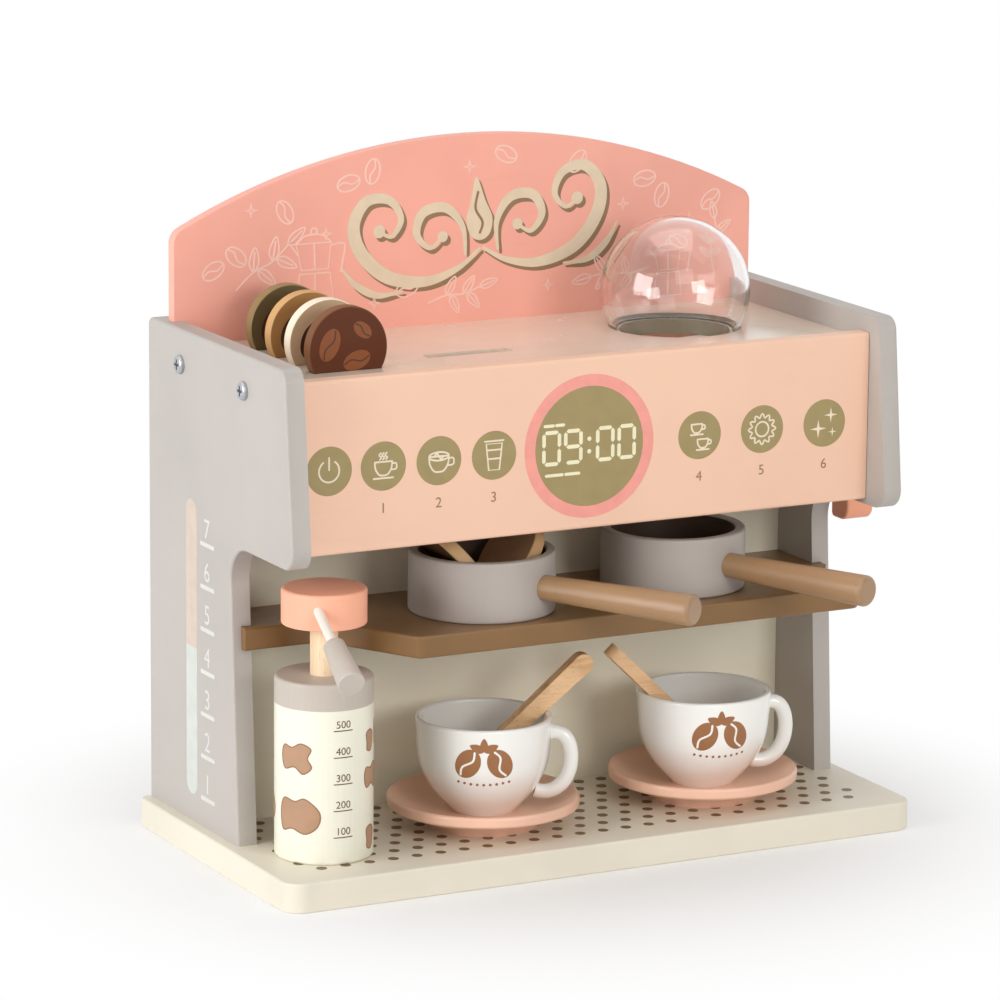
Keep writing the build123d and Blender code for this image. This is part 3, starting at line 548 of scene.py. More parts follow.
def oval(x, y, long, short, turn=0.0):
    """The points of an ellipse from its half lengths, turned by degrees."""
    a = radians(turn)
    count = 40
    points = []
    for i in range(count):
        t = 2 * pi * i / count
        u = long * cos(t)
        v = short * sin(t)
        points.append((x + u * cos(a) - v * sin(a), y + u * sin(a) + v * cos(a)))
    return points


def between(a, b, c, d, t):
    """The Catmull-Rom value a share t of the way from b to c."""
    square = 2 * a - 5 * b + 4 * c - d
    cube = 3 * b - a - 3 * c + d
    return 0.5 * (2 * b + (c - a) * t + square * t * t + cube * t**3)


def smooth(points, loop=False, steps=8):
    """A Catmull-Rom curve through the points."""
    n = len(points)
    out = []
    for i in range(n if loop else n - 1):
        near = [(i + k) % n if loop else min(max(i + k, 0), n - 1) for k in (-1, 0, 1, 2)]
        four = [points[k] for k in near]
        for s in range(steps):
            out.append(tuple(between(*along, s / steps) for along in zip(*four)))
    if not loop:
        out.append(tuple(points[-1]))
    return out


def back_to_start(points):
    """The outline as a line that ends where it starts."""
    return points + points[:1]


def moved(points, x, y, scale=1.0, turn=0.0):
    """The points scaled, turned by degrees and then shifted."""
    a = radians(turn)
    return [
        (x + scale * (u * cos(a) - v * sin(a)), y + scale * (u * sin(a) + v * cos(a)))
        for u, v in points
    ]


def filled(outlines):
    """A flat mesh that fills closed outlines; an outline inside another is a hole."""
    curve = bpy.data.curves.new("outline", "CURVE")
    curve.dimensions = "2D"
    curve.fill_mode = "BOTH"
    for outline in outlines:
        spline = curve.splines.new("POLY")
        spline.points.add(len(outline) - 1)
        for point, (u, v) in zip(spline.points, outline):
            point.co = (u, v, 0, 1)
        spline.use_cyclic_u = True
    return evaluated(curve)


def lettered(text, x, y, size):
    """Plain numbers in the built-in font, as a flat mesh."""
    curve = bpy.data.curves.new("number", "FONT")
    curve.body = text
    curve.size = size
    curve.align_x = "CENTER"
    curve.align_y = "CENTER"
    mesh = evaluated(curve)
    mesh.transform(Matrix.Translation((x, y, 0)))
    return mesh


def evaluated(curve):
    """The mesh that a curve makes. The curve is deleted."""
    helper = in_scene("helper", curve)
    bpy.context.view_layer.update()
    made = helper.evaluated_get(bpy.context.evaluated_depsgraph_get())
    mesh = bpy.data.meshes.new_from_object(made)
    bpy.data.objects.remove(helper)
    bpy.data.curves.remove(curve)
    return mesh


def stroked(points, width):
    """A ribbon along a line with round ends, or a ring where the line ends at its start.

    width is a number, or a function of the share of the way along."""
    closed = hypot(points[0][0] - points[-1][0], points[0][1] - points[-1][1]) < SAME
    if closed:
        points = points[:-1]
    n = len(points)
    vertices = []
    for i, (x, y) in enumerate(points):
        a = points[(i - 1) % n] if closed or i > 0 else points[i]
        b = points[(i + 1) % n] if closed or i < n - 1 else points[i]
        length = hypot(b[0] - a[0], b[1] - a[1])
        half = (width(i / (n - 1)) if callable(width) else width) / 2
        nx = -(b[1] - a[1]) / length * half
        ny = (b[0] - a[0]) / length * half
        vertices += [(x + nx, y + ny, 0), (x - nx, y - ny, 0)]
    faces = []
    for i in range(n if closed else n - 1):
        j = (i + 1) % n
        faces.append((2 * i, 2 * i + 1, 2 * j + 1, 2 * j))
    if not closed:
        for end, half_turn in ((0, pi), (n - 1, -pi)):
            x, y = points[end]
            left = vertices[2 * end]
            start = atan2(left[1] - y, left[0] - x)
            radius = hypot(left[0] - x, left[1] - y)
            first = len(vertices)
            steps = 8
            for k in range(1, steps):
                a = start + half_turn * k / steps
                vertices.append((x + radius * cos(a), y + radius * sin(a), 0))
            faces.append((2 * end, *range(first, len(vertices)), 2 * end + 1))
    mesh = bpy.data.meshes.new("stroke")
    mesh.from_pydata(vertices, [], faces)
    return mesh


def put_print(name, meshes, where, material, body="frame", ink=INK, finest=None):
    """Lays flat meshes on a surface as a thin solid layer. where(u, v, height) gives the place.

    ink is how far the layer stands out and how far it sinks in.
    Each mesh lies a hair above the one before it, so that crossing strokes stay clean.
    finest is the longest edge that stays whole, where the surface is curved."""
    rounds = 6
    flat = bmesh.new()
    for index, mesh in enumerate(meshes):
        mesh.transform(Matrix.Translation((0, 0, INK_STEP * index)))
        flat.from_mesh(mesh)
        bpy.data.meshes.remove(mesh)
    if finest:
        for _ in range(rounds):
            long_edges = [e for e in flat.edges if e.calc_length() > finest]
            if not long_edges:
                break
            bmesh.ops.subdivide_edges(flat, edges=long_edges, cuts=1, use_grid_fill=True)
            bmesh.ops.triangulate(flat, faces=[f for f in flat.faces if len(f.verts) > 4])
    bmesh.ops.recalc_face_normals(flat, faces=flat.faces)
    flat.verts.ensure_lookup_table()
    flat.verts.index_update()
    solid = bmesh.new()
    upper = [solid.verts.new(where(v.co.x, v.co.y, ink + v.co.z)) for v in flat.verts]
    under = [solid.verts.new(where(v.co.x, v.co.y, -ink)) for v in flat.verts]
    for face in flat.faces:
        order = [v.index for v in face.verts]
        if face.normal.z < 0:
            order.reverse()
        solid.faces.new([upper[i] for i in order])
        solid.faces.new([under[i] for i in reversed(order)])
        for edge, loop in zip(face.edges, face.loops):
            if len(edge.link_faces) == 1:
                a = loop.vert.index
                b = loop.link_loop_next.vert.index
                if face.normal.z < 0:
                    a, b = b, a
                solid.faces.new([upper[b], upper[a], under[a], under[b]])
    mesh = bpy.data.meshes.new(name)
    solid.to_mesh(mesh)
    solid.free()
    flat.free()
    mesh.materials.append(material)
    piece = in_scene(name, mesh)
    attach(piece, body)


# --- surfaces that carry prints
def on_front(y):
    """A plane that faces the front: u is X and v is height."""
    return lambda u, v, h: spot(u, y - h, v)


def on_left(x):
    """The left panel's outer face: u runs towards the front and v is height."""
    return lambda u, v, h: spot(x - h, -u, v)


def on_top(z):
    """A level plane seen from above: u is X and v runs towards the back."""
    return lambda u, v, h: spot(u, v, z + h)


def around(node, axis, azimuth, height):
    """The outside of a round node: u runs round it to the right and v is up, in millimetres."""
    tree = BVHTree.FromObject(nodes[node], bpy.context.evaluated_depsgraph_get())
    low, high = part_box(node)
    far = (high - low).length

    def where(u, v, h):
        z = TOP + (height + v) * MM
        first = Vector((axis.x, axis.y, z))
        outward = Vector((cos(azimuth), sin(azimuth), 0))
        radius = (tree.ray_cast(first + outward * far, -outward)[0] - first).length
        a = azimuth + u * MM / radius
        outward = Vector((cos(a), sin(a), 0))
        hit, normal = tree.ray_cast(first + outward * far, -outward)[:2]
        return hit + normal * h * MM

    return where


# --- prints
CURVED_FINEST = 1.5


def base_dots():
    """Rows of printed drain holes on the base board, every other row half a step along."""
    pitch_x = 12.5
    pitch_y = 11.8
    first_y = 20.2
    rows = 8
    radius = 2.6
    half_row = 12
    meshes = []
    for row in range(rows):
        shifted = row % 2 == 0
        offset = pitch_x / 2 if shifted else 0.0
        xs = [offset + pitch_x * k for k in range(half_row if shifted else half_row + 1)]
        for x in sorted(set(xs + [-x for x in xs])):
            meshes.append(filled([circle(x, first_y + pitch_y * row, radius, 24)]))
    put_print("base_dots", meshes, on_top(0), printed("dot_ink", DOT_BROWN))


SEGMENTS = {"0": "abcdef", "9": "abcdfg"}


def seven_segment(character, x, y, wide, tall, thick):
    """One digit of a clock display, as separate six-sided bars."""
    gap = 0.35
    half = tall / 2
    ends = {
        "a": ((x, y + tall), (x + wide, y + tall)),
        "b": ((x + wide, y + tall), (x + wide, y + half)),
        "c": ((x + wide, y + half), (x + wide, y)),
        "d": ((x, y), (x + wide, y)),
        "e": ((x, y + half), (x, y)),
        "f": ((x, y + tall), (x, y + half)),
        "g": ((x, y + half), (x + wide, y + half)),
    }
    bars = []
    for name in SEGMENTS[character]:
        (ax, ay), (bx, by) = ends[name]
        length = hypot(bx - ax, by - ay)
        ux, uy = (bx - ax) / length, (by - ay) / length
        r = thick / 2
        start, end = gap, length - gap
        outline = [(start, 0), (start + r, r), (end - r, r), (end, 0), (end - r, -r), (start + r, -r)]
        bars.append(filled([[(ax + u * ux - v * uy, ay + u * uy + v * ux) for u, v in outline]]))
    return bars


def clock(where, z, olive):
    """A pink ring, an olive disc, clock digits with a colon, and short bars above and below them."""
    x = -0.2
    ring_radius = 34.7
    disc_radius = 29.0
    disc = circle(x, z, disc_radius, 96)
    ring = filled([circle(x, z, ring_radius, 96), disc])
    put_print("clock_ring", [ring], where, printed("ring_pink_ink", RING_PINK))
    put_print("clock_disc", [filled([disc])], where, olive)
    tall = 15.2
    wide = 8.2
    thick = 1.9
    low = z - 7.1
    digits = (("0", -24.4), ("9", -12.8), ("0", 4.4), ("0", 16.0))
    colon_x = x - 0.1
    colon_radius = 1.1
    bars = ((-24.0, -19.5, 11.4), (-17.8, -14.0, 11.4), (-23.0, -14.5, -12.6), (-12.6, -5.5, -12.6))
    bar_width = 1.5
    meshes = []
    for character, left in digits:
        meshes += seven_segment(character, x + left, low, wide, tall, thick)
    for up in (0.3, 0.7):
        meshes.append(filled([circle(colon_x, low + tall * up, colon_radius, 16)]))
    for left, right, up in bars:
        meshes.append(stroked([(x + left, z + up), (x + right, z + up)], bar_width))
    put_print("clock_digits", meshes, where, printed("digit_ink", DIGIT_CREAM), ink=2 * INK)


def cup_side(x, y, size):
    """A plain cup seen from the side, with its handle and saucer, as strokes."""
    bowl = smooth([
        (-0.55, 0.35), (-0.50, -0.05), (-0.28, -0.38), (0.0, -0.44),
        (0.28, -0.38), (0.50, -0.05), (0.55, 0.35),
    ])
    handle = smooth([(0.54, 0.22), (0.80, 0.20), (0.80, -0.10), (0.46, -0.14)])
    lines = [bowl, [(-0.55, 0.35), (0.55, 0.35)], handle, [(-0.62, -0.60), (0.62, -0.60)]]
    return [moved(line, x, y, size) for line in lines]


def steam(x, y, size):
    """Three wisps side by side."""
    wisp = smooth([(0, 0), (0.10, 0.14), (-0.06, 0.28), (0.06, 0.44)])
    return [moved(wisp, x + size * dx, y, size) for dx in (-0.22, 0.0, 0.22)]


def power_icon(x, y):
    """An open ring with a bar in its gap."""
    return [circle(x, y, 5.2, 40, radians(125), radians(290)), [(x, y + 6.4), (x, y + 0.6)]]


def bean_lines(x, y, size, turn):
    """A coffee bean's outline and its crease."""
    crease = smooth([(-0.9, 0.05), (-0.35, 0.16), (0.3, -0.16), (0.9, -0.03)])
    return oval(x, y, size, size * 0.62, turn), moved(crease, x, y, size, turn)


def sparkle(x, y, size):
    """A four-pointed star."""
    waist = 0.22
    points = []
    for i in range(8):
        r = size if i % 2 == 0 else size * waist
        a = pi / 2 + i * pi / 4
        points.append((x + r * cos(a), y + r * sin(a)))
    return points


def mug_lines(x, y):
    """A cup with a swirl of milk in it."""
    swirl = smooth([(-0.5, 0), (-0.2, 0.25), (0.2, -0.25), (0.5, 0)])
    surface = y + 2.1
    without_saucer = cup_side(x, y - 1.2, 9.4)[:3]
    return without_saucer + [back_to_start(oval(x, surface, 5.2, 2.0)), moved(swirl, x, surface, 5.0)]


def tumbler_lines(x, y):
    """A tall tapered glass with a lid and two bands."""
    glass = [(-4.2, 5.6), (4.2, 5.6), (2.8, -7.0), (-2.8, -7.0), (-4.2, 5.6)]
    bands = [[(-3.9, 2.6), (3.9, 2.6)], [(-3.4, -1.6), (3.4, -1.6)]]
    lid = [(-4.9, 6.9), (4.9, 6.9)]
    return [moved(line, x, y) for line in (glass, *bands, lid)]


def rosette_lines(x, y):
    """A ring with a wavy edge round a plain one."""
    petals = 12
    count = petals * 6
    radius = 6.6
    wave = 1.0
    edge = []
    for i in range(count):
        a = 2 * pi * i / count
        r = radius + wave * cos(petals * a)
        edge.append((x + r * cos(a), y + r * sin(a)))
    return [back_to_start(edge), back_to_start(circle(x, y, 3.6, 32))]


def fascia_prints():
    """Seven olive buttons with signs, numbers under six of them, and the clock."""
    where = on_front(low_corner("fascia_panel").y)
    z = 188.0
    radius = 11.7
    xs = [-137.0, -109.0, -80.1, -51.1, 59.8, 94.4, 129.3]
    line_width = 0.85
    number_z = 167.8
    number_size = 7.0
    stars = ((-3.4, -2.6, 4.6), (3.6, 3.8, 3.8), (4.6, -4.6, 2.4))
    discs = [filled([circle(x, z, radius, 64)]) for x in xs]
    olive = printed("olive_ink", OLIVE)
    put_print("button_discs", discs, where, olive)
    power, small_cup, mug, tumbler, two_cups, rosette, star = xs
    lines = power_icon(power, z)
    lines += cup_side(small_cup, z - 0.8, 8.2)
    lines += steam(small_cup - 0.3, z + 3.2, 7.0)
    lines += mug_lines(mug, z)
    lines += tumbler_lines(tumbler, z)
    lines += cup_side(two_cups - 1.6, z + 3.6, 5.4)
    lines += cup_side(two_cups + 1.8, z - 3.9, 5.4)
    lines += rosette_lines(rosette, z)
    meshes = [stroked(line, line_width) for line in lines]
    for dx, dy, size in stars:
        meshes.append(filled([sparkle(star + dx, z + dy, size)]))
    put_print("button_icons", meshes, where, printed("icon_ink", ICON_CREAM), ink=2 * INK)
    labels = [lettered(str(i + 1), x, number_z, number_size) for i, x in enumerate(xs[1:])]
    put_print("button_numbers", labels, where, printed("label_ink", LABEL_BROWN))
    clock(where, z, olive)


def gauge():
    """A tank gauge on the left panel: a two-colour bar and the numbers 1 to 7 with their marks."""
    where = on_left(low_corner("left_side_panel").x)
    front_edge = -116.0
    rear_edge = -128.5
    centre = (front_edge + rear_edge) / 2
    r = (front_edge - rear_edge) / 2
    low = 13.3
    split = 86.5
    high = 159.0
    upper = [(front_edge, split)] + circle(centre, high - r, r, 20, 0.0, pi) + [(rear_edge, split)]
    lower = [(rear_edge, split)] + circle(centre, low + r, r, 20, pi, pi) + [(front_edge, split)]
    put_print("gauge_upper", [filled([upper])], where, printed("gauge_peach_ink", GAUGE_PEACH))
    put_print("gauge_lower", [filled([lower])], where, printed("gauge_aqua_ink", GAUGE_AQUA))
    step = 20.9
    number_u = -104.4
    first_number = 21.4
    number_size = 13.6
    first_mark = 14.2
    mark_start, mark_end = -111.0, -97.0
    mark_width = 2.1
    meshes = []
    for k in range(7):
        meshes.append(lettered(str(k + 1), number_u, first_number + step * k, number_size))
        z = first_mark + step * k
        meshes.append(stroked([(mark_start, z), (mark_end, z)], mark_width))
    put_print("gauge_numbers", meshes, where, printed("gauge_white_ink", GAUGE_WHITE))


def pen(points, thin, thick, peak):
    """A pen stroke that is widest at a share of the way along."""
    swell = 1.6

    def width(t):
        share = t / peak if t < peak else (1 - t) / (1 - peak)
        return thin + (thick - thin) * sin(pi / 2 * share) ** swell

    return stroked(smooth(points, steps=12), width)


def scrollwork(x, y, scale, turn):
    """A mirrored pair of scrolls with a drop between, and the line down the drop."""
    long_scroll = [
        (1, -7), (12, -14), (28, -17.5), (46, -13), (58, -1), (61, 12),
        (54, 22), (43, 21), (38, 12), (43, 5), (49, 8),
    ]
    short_scroll = [(8, -8.5), (8.5, 4), (16, 13.5), (27, 13), (31, 4), (25, -3), (18.5, 1)]
    tail = [(40, -20), (52, -20), (62, -14), (68, -6)]
    drop = [(0, 25), (3.6, 14), (6.4, 6), (4.6, -1), (0, -3.4), (-4.6, -1), (-6.4, 6), (-3.6, 14)]
    crease = [(0.3, 18), (-1.5, 11), (1.4, 4.5), (-0.2, 0)]
    crease_width = 1.3
    strokes = ((long_scroll, 1.5, 6.2, 0.36), (short_scroll, 1.3, 4.6, 0.42), (tail, 0.9, 3.4, 0.5))
    balls = ((49, 8, 2.9), (18.5, 1, 2.5))
    meshes = []
    for side in (1, -1):
        for line, thin, thick, peak in strokes:
            points = moved([(side * u, v) for u, v in line], x, y, scale, turn)
            meshes.append(pen(points, thin * scale, thick * scale, peak))
        for u, v, radius in balls:
            (cx, cy), = moved([(side * u, v)], x, y, scale, turn)
            meshes.append(filled([circle(cx, cy, radius * scale, 32)]))
    meshes.append(filled([moved(smooth(drop, loop=True), x, y, scale, turn)]))
    return meshes, [stroked(smooth(moved(crease, x, y, scale, turn)), crease_width)]


def header_prints():
    """Cream scrollwork with a brown shade, and thin outlines of beans, leaves, stars and pots."""
    where = on_front(low_corner("header_board").y)
    x, z, scale, turn = 6.0, 271.0, 1.12, 5.0
    shade_right = 1.7
    shade_down = 2.0
    shade_ink = printed("scroll_shade_ink", SWASH_SHADE)
    shadow = scrollwork(x + shade_right, z - shade_down, scale, turn)[0]
    put_print("scroll_shade", shadow, where, shade_ink)
    meshes, crease = scrollwork(x, z, scale, turn)
    put_print("scrollwork", meshes, where, printed("scroll_ink", SWASH_CREAM), ink=2.5 * INK)
    put_print("scroll_crease", crease, where, shade_ink, ink=4 * INK)

    line_width = 0.8
    bean_size = 6.2
    star_size = 3.4
    beans = (
        (-138, 262, 30), (-126, 268, -40), (-66, 300, 15), (-53, 305, 80), (20, 309, -25), (98, 292, 10),
        (108, 283, 75), (136, 279, 40), (-100, 288, -60), (60, 303, 50), (-34, 246, 20), (118, 262, -30),
    )
    sprigs = ((-112, 262, 26, 10), (-8, 241, 22, -14), (84, 246, 24, 160), (140, 256, 20, 70))
    pots = ((-84, 257, 24), (112, 244, 20))
    stars = ((-118, 290), (-78, 276), (0, 304), (86, 280), (124, 270), (44, 242), (-52, 240))
    lines = []
    for x, z, turn in beans:
        outline, crease = bean_lines(x, z, bean_size, turn)
        lines += [back_to_start(outline), crease]
    for x, z, size, turn in sprigs:
        lines += leaf_sprig(x, z, size, turn)
    for x, z, size in pots:
        lines += coffee_pot(x, z, size)
    for x, z in stars:
        lines.append(back_to_start(sparkle(x, z, star_size)))
    meshes = [stroked(line, line_width) for line in lines]
    put_print("header_outlines", meshes, where, printed("art_pale_ink", ART_PALE))


def leaf_sprig(x, y, size, turn):
    """A curved stem with a pair of leaves and one at its tip."""
    stem = smooth([(-0.6, -0.3), (-0.2, -0.05), (0.2, 0.05), (0.6, 0.3)])
    edge = [(0, 0), (0.18, 0.12), (0.42, 0.10), (0.62, 0), (0.42, -0.10), (0.18, -0.12), (0, 0)]
    leaf = back_to_start(smooth(edge)[:-1])
    vein = [(0.05, 0), (0.5, 0)]
    leaf_size = 0.75
    leaves = ((-0.2, -0.05, 75), (-0.1, -0.02, -50), (0.22, 0.06, 70), (0.3, 0.1, -35), (0.58, 0.28, 32))
    out = [moved(stem, x, y, size, turn)]
    for u, v, angle in leaves:
        for part in (leaf, vein):
            out.append(moved(moved(part, u, v, leaf_size, angle), x, y, size, turn))
    return out


def coffee_pot(x, y, size):
    """A stove-top pot: two tapered halves, a spout, a handle and a knob."""
    parts = [
        [(-0.34, 0.0), (-0.42, -0.62), (0.42, -0.62), (0.34, 0.0), (-0.34, 0.0)],
        [(-0.30, 0.08), (-0.42, 0.62), (0.36, 0.62), (0.30, 0.08), (-0.30, 0.08)],
        smooth([(-0.42, 0.62), (-0.20, 0.78), (0.15, 0.78), (0.36, 0.62)]),
        back_to_start(circle(-0.02, 0.86, 0.07, 16)),
        smooth([(0.36, 0.56), (0.66, 0.56), (0.62, 0.20), (0.58, 0.0)]),
        [(-0.42, 0.62), (-0.58, 0.66), (-0.37, 0.38)],
        [(0.0, 0.08), (-0.02, 0.62)],
        [(0.0, -0.62), (0.0, 0.0)],
    ]
    return [moved(part, x, y, size) for part in parts]


def bottle_prints():
    """Brown blotches round the bottle and a plain measuring scale."""
    centre = nodes_axis("bottle_body")
    low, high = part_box("bottle_body")
    radius = (high.x - low.x) / 2 / MM
    where = around("bottle_body", centre, radians(-90), 0.0)
    clover = [
        (-0.52, 0.02), (-0.42, 0.34), (-0.12, 0.30), (0.18, 0.44), (0.48, 0.30),
        (0.38, 0.02), (0.50, -0.24), (0.24, -0.44), (-0.04, -0.26), (-0.40, -0.34),
    ]
    cloud = [
        (-0.54, 0.04), (-0.42, 0.38), (-0.08, 0.34), (0.20, 0.42), (0.54, 0.12),
        (0.50, -0.22), (0.20, -0.42), (-0.16, -0.32), (-0.46, -0.38),
    ]
    comma = [
        (-0.32, 0.40), (0.06, 0.52), (0.34, 0.28), (0.28, -0.12),
        (0.10, -0.48), (-0.26, -0.42), (-0.28, -0.06),
    ]
    spots = (
        (clover, -60, 51.2, 16.5), (cloud, -57, 23.4, 20), (comma, 40, 57.5, 10), (clover, 46, 40, 14),
        (comma, 41, 10.5, 11), (cloud, 76, 60, 15), (clover, 84, 26, 17), (comma, 112, 48, 14),
        (cloud, 124, 16, 16), (clover, 150, 58, 15), (cloud, 172, 34, 17), (comma, 205, 14, 14),
        (clover, 226, 52, 16), (cloud, 238, 24, 15),
    )
    rim_width = 0.6
    outlines = [
        moved(smooth(shape, loop=True), radians(a) * radius, z, size) for shape, a, z, size in spots
    ]
    meshes = [filled([outline]) for outline in outlines]
    brown = printed("blotch_ink", BLOTCH_BROWN)
    put_print("bottle_blotches", meshes, where, brown, "bottle", finest=CURVED_FINEST)
    rims = [stroked(back_to_start(outline), rim_width) for outline in outlines]
    dark = printed("blotch_edge_ink", BLOTCH_EDGE)
    put_print("blotch_rims", rims, where, dark, "bottle", ink=2 * INK, finest=CURVED_FINEST)
    across = radians(-2.6) * radius
    first_mark = 13.4
    step = 12.9
    half_mark = 4.6
    mark_width = 0.5
    number_up = 2.8
    number_size = 5.0
    marks = []
    for i in range(5):
        z = first_mark + step * i
        marks.append(stroked([(across - half_mark, z), (across + half_mark, z)], mark_width))
        marks.append(lettered(str(100 * (i + 1)), across, z + number_up, number_size))
    scale = printed("scale_ink", SCALE_BROWN)
    put_print("bottle_scale", marks, where, scale, "bottle", finest=CURVED_FINEST)


def cup_prints():
    """Two coffee beans under three leaves, and a row of dots, on the front of each cup."""
    ink = printed("cup_ink", CUP_PRINT, 0.3)
    white = printed("cup_ink_white", WHITE_CUP, 0.3)
    leaf = smooth([(0, 0), (0.28, 0.26), (0.66, 0.24), (1, 0), (0.66, -0.24), (0.28, -0.26)], loop=True)
    bend = smooth([(-0.86, 0.06), (-0.35, 0.2), (0.3, -0.2), (0.86, -0.04)])
    up = 39.0
    bean_v = -1.4
    bean_long, bean_short = 7.6, 6.0
    beans = ((-7.8, 62), (7.8, -62))
    crease_width = 1.0
    leaf_v = 4.9
    leaves = ((90, 6.6), (24, 7.4), (156, 7.4))
    dot_radius = 0.7
    dots = [(3.1 * k, -12.2 + 0.08 * k * k) for k in range(-4, 5)]
    for side, azimuth in (("left", -117), ("right", -104)):
        cup = f"{side}_cup"
        where = around(cup, nodes_axis(f"{side}_saucer"), radians(azimuth), up)
        meshes = []
        creases = []
        for u, turn in beans:
            meshes.append(filled([oval(u, bean_v, bean_long, bean_short, turn)]))
            creases.append(stroked(moved(bend, u, bean_v, bean_long, turn), crease_width))
        for angle, size in leaves:
            meshes.append(filled([moved(leaf, 0, leaf_v, size, angle)]))
        for u, v in dots:
            meshes.append(filled([circle(u, v, dot_radius, 14)]))
        put_print(f"{cup}_print", meshes, where, ink, cup, finest=CURVED_FINEST)
        put_print(f"{cup}_creases", creases, where, white, cup, ink=2.5 * INK, finest=CURVED_FINEST)


def token_prints_and_shade():
    """Coffee beans on the front token, and on the ones behind a plain dark oval of painted shade between
    the tokens.
    """
    dark = printed("bean_ink_and_painted_shade", BEAN_AND_SHADE_DARK)
    orange = printed("bean_orange_ink", BEAN_ORANGE)
    beans = ((-9.6, 2.6, 8.0, 68), (4.4, -5.6, 7.2, 18), (7.4, 8.6, 5.4, -38))
    crease_width = 0.7
    left, up = 7.5, 1.0
    oval_long, oval_short, oval_turn = 9.5, 6.6, 66
    for number in (1, 2, 3, 4):
        node = f"token_{number}"
        c = in_mm(nodes_axis(node))
        where = on_front(low_corner(node).y)
        if number == 1:
            fills = []
            creases = []
            for u, v, size, turn in beans:
                outline, crease = bean_lines(c.x + u, c.z + v, size, turn)
                fills.append(filled([outline]))
                creases.append(stroked(crease, crease_width))
            put_print("token_1_beans", fills, where, orange, node)
            put_print("token_1_creases", creases, where, dark, node, ink=2 * INK)
        else:
            # Painted shade: a dark oval on the visible part of the face, where the token in front shades
            # it.
            outline = oval(c.x - left, c.z + up, oval_long, oval_short, oval_turn)
            put_print(f"{node}_oval", [filled([outline])], where, dark, node)


# --- floor, light and camera
WHITE = (1, 1, 1, 1)
FLOOR_HALF = 12.0
FLOOR_WHITE = (0.94, 0.94, 0.94, 1)
# The floor shows its shadow up to the first distance from its middle and is white from the second.
SHADOW_FULL = 0.09
SHADOW_GONE = 0.31
AMBIENT = 0.42
AMBIENT_COLOUR = (1.0, 0.985, 0.965, 1)

# Each lamp's name, place, target, size, power in watts and colour.
LAMPS = (
    ("left", (-2.3, -0.25, 0.75), (0, 0, 0.15), (1.3, 1.3), 35, (0.99, 0.99, 1.0)),
    ("front_low", (0.45, -2.45, 0.85), (0, 0, 0.15), (1.0, 0.8), 16, (1.0, 0.99, 0.97)),
    ("front_high", (-0.4, -2.0, 1.5), (0, 0, 0.15), (1.2, 1.0), 5.5, (1.0, 0.99, 0.97)),
    ("over", (0.1, 0.3, 2.2), (0, 0, 0.1), (1.6, 1.6), 10, (1, 1, 1)),
)

# The camera's lens and frame width in millimetres, the directions of its right and up, and its place.
LENS = 190.2
SENSOR = 36.0
CAMERA_RIGHT = (0.88718781, -0.4613263, 0.00870805)
CAMERA_UP = (0.09069134, 0.19285321, 0.97702749)
CAMERA_SPOT = (-1172.81, -2126.68, 695.74)
CLIP_END = 50.0


def floor():
    """A white floor that keeps the object's shadow near it and is plain white further off."""
    mesh = bpy.data.meshes.new("studio_floor")
    half = FLOOR_HALF
    height = base_low.z
    corners = [(-half, -half, height), (half, -half, height), (half, half, height), (-half, half, height)]
    mesh.from_pydata(corners, [], [(0, 1, 2, 3)])
    plane = in_scene("studio_floor", mesh)
    material = bpy.data.materials.new("studio_white")
    material.use_nodes = True
    tree = material.node_tree
    link = tree.links.new
    shader = tree.nodes["Principled BSDF"]
    shader.inputs["Base Color"].default_value = FLOOR_WHITE
    shader.inputs["Roughness"].default_value = 0.9
    shader.inputs["Specular IOR Level"].default_value = 0.1
    glow = add_node(tree, "ShaderNodeEmission")
    glow.inputs["Color"].default_value = WHITE
    place = add_node(tree, "ShaderNodeTexCoord")
    away = add_node(tree, "ShaderNodeVectorMath", operation="LENGTH")
    link(place.outputs["Object"], away.inputs[0])
    far = add_node(tree, "ShaderNodeMapRange", interpolation_type="SMOOTHSTEP")
    far.inputs["From Min"].default_value = SHADOW_FULL
    far.inputs["From Max"].default_value = SHADOW_GONE
    link(away.outputs["Value"], far.inputs["Value"])
    both = add_node(tree, "ShaderNodeMath", operation="MULTIPLY")
    link(far.outputs["Result"], both.inputs[0])
    link(seen_by_eye(tree).outputs[0], both.inputs[1])
    blend(tree, both, shader, glow, "Material Output")
    mesh.materials.append(material)


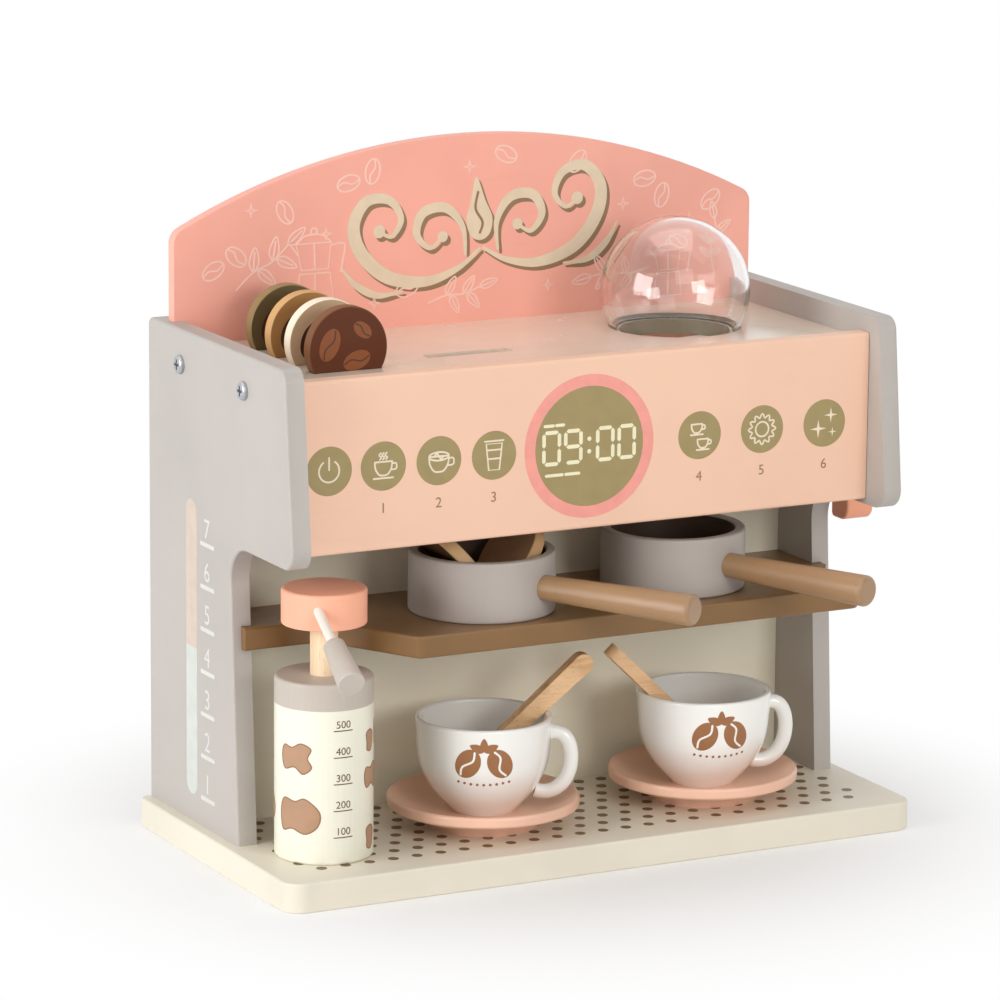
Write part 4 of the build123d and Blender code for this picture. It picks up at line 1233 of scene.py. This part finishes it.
def seen_by_eye(tree):
    """A node that gives 1 for rays from the camera, off gloss or through clear plastic, else 0."""
    path = add_node(tree, "ShaderNodeLightPath")
    total = path.outputs["Is Camera Ray"]
    for name in ("Is Glossy Ray", "Is Transmission Ray"):
        most = add_node(tree, "ShaderNodeMath", operation="MAXIMUM")
        tree.links.new(total, most.inputs[0])
        tree.links.new(path.outputs[name], most.inputs[1])
        total = most.outputs[0]
    return most


def blend(tree, share, first, second, output):
    """Blends two shaders by a share and sends them to the output node."""
    mix = add_node(tree, "ShaderNodeMixShader")
    for node, socket in zip((share, first, second), mix.inputs):
        tree.links.new(node.outputs[0], socket)
    tree.links.new(mix.outputs[0], tree.nodes[output].inputs["Surface"])


def world():
    """A soft even light from all round, behind a background that the camera sees as white."""
    sky = bpy.data.worlds.new("studio_sky")
    bpy.context.scene.world = sky
    sky.use_nodes = True
    tree = sky.node_tree
    ambient = tree.nodes["Background"]
    ambient.inputs["Color"].default_value = AMBIENT_COLOUR
    ambient.inputs["Strength"].default_value = AMBIENT
    white = add_node(tree, "ShaderNodeBackground")
    white.inputs["Color"].default_value = WHITE
    blend(tree, seen_by_eye(tree), ambient, white, "World Output")


def lights():
    """Soft lamps: a strong one at the left, two at the front and a weak one above."""
    for name, place, target, size, power, colour in LAMPS:
        data = bpy.data.lights.new(name, "AREA")
        data.shape = "RECTANGLE"
        data.size, data.size_y = size
        data.energy = power
        data.color = colour
        lamp = in_scene(name, data)
        lamp.location = place
        lamp.rotation_euler = (Vector(target) - Vector(place)).to_track_quat("-Z", "Y").to_euler()


def camera():
    """The view that the piece is shown from, a little from the left and above."""
    data = bpy.data.cameras.new("camera")
    data.sensor_width = SENSOR
    data.lens = LENS
    data.clip_end = CLIP_END
    lens = in_scene("camera", data)
    right = Vector(CAMERA_RIGHT)
    up = Vector(CAMERA_UP)
    turn = Matrix((right, up, right.cross(up))).transposed()
    lens.matrix_world = Matrix.Translation(spot(*CAMERA_SPOT)) @ turn.to_4x4()
    bpy.context.scene.camera = lens


camera()
dress_everything()
shorten_spring()
base_dots()
fascia_prints()
gauge()
header_prints()
bottle_prints()
cup_prints()
token_prints_and_shade()
floor()
world()
lights()
bpy.context.scene.view_settings.view_transform = "Standard"
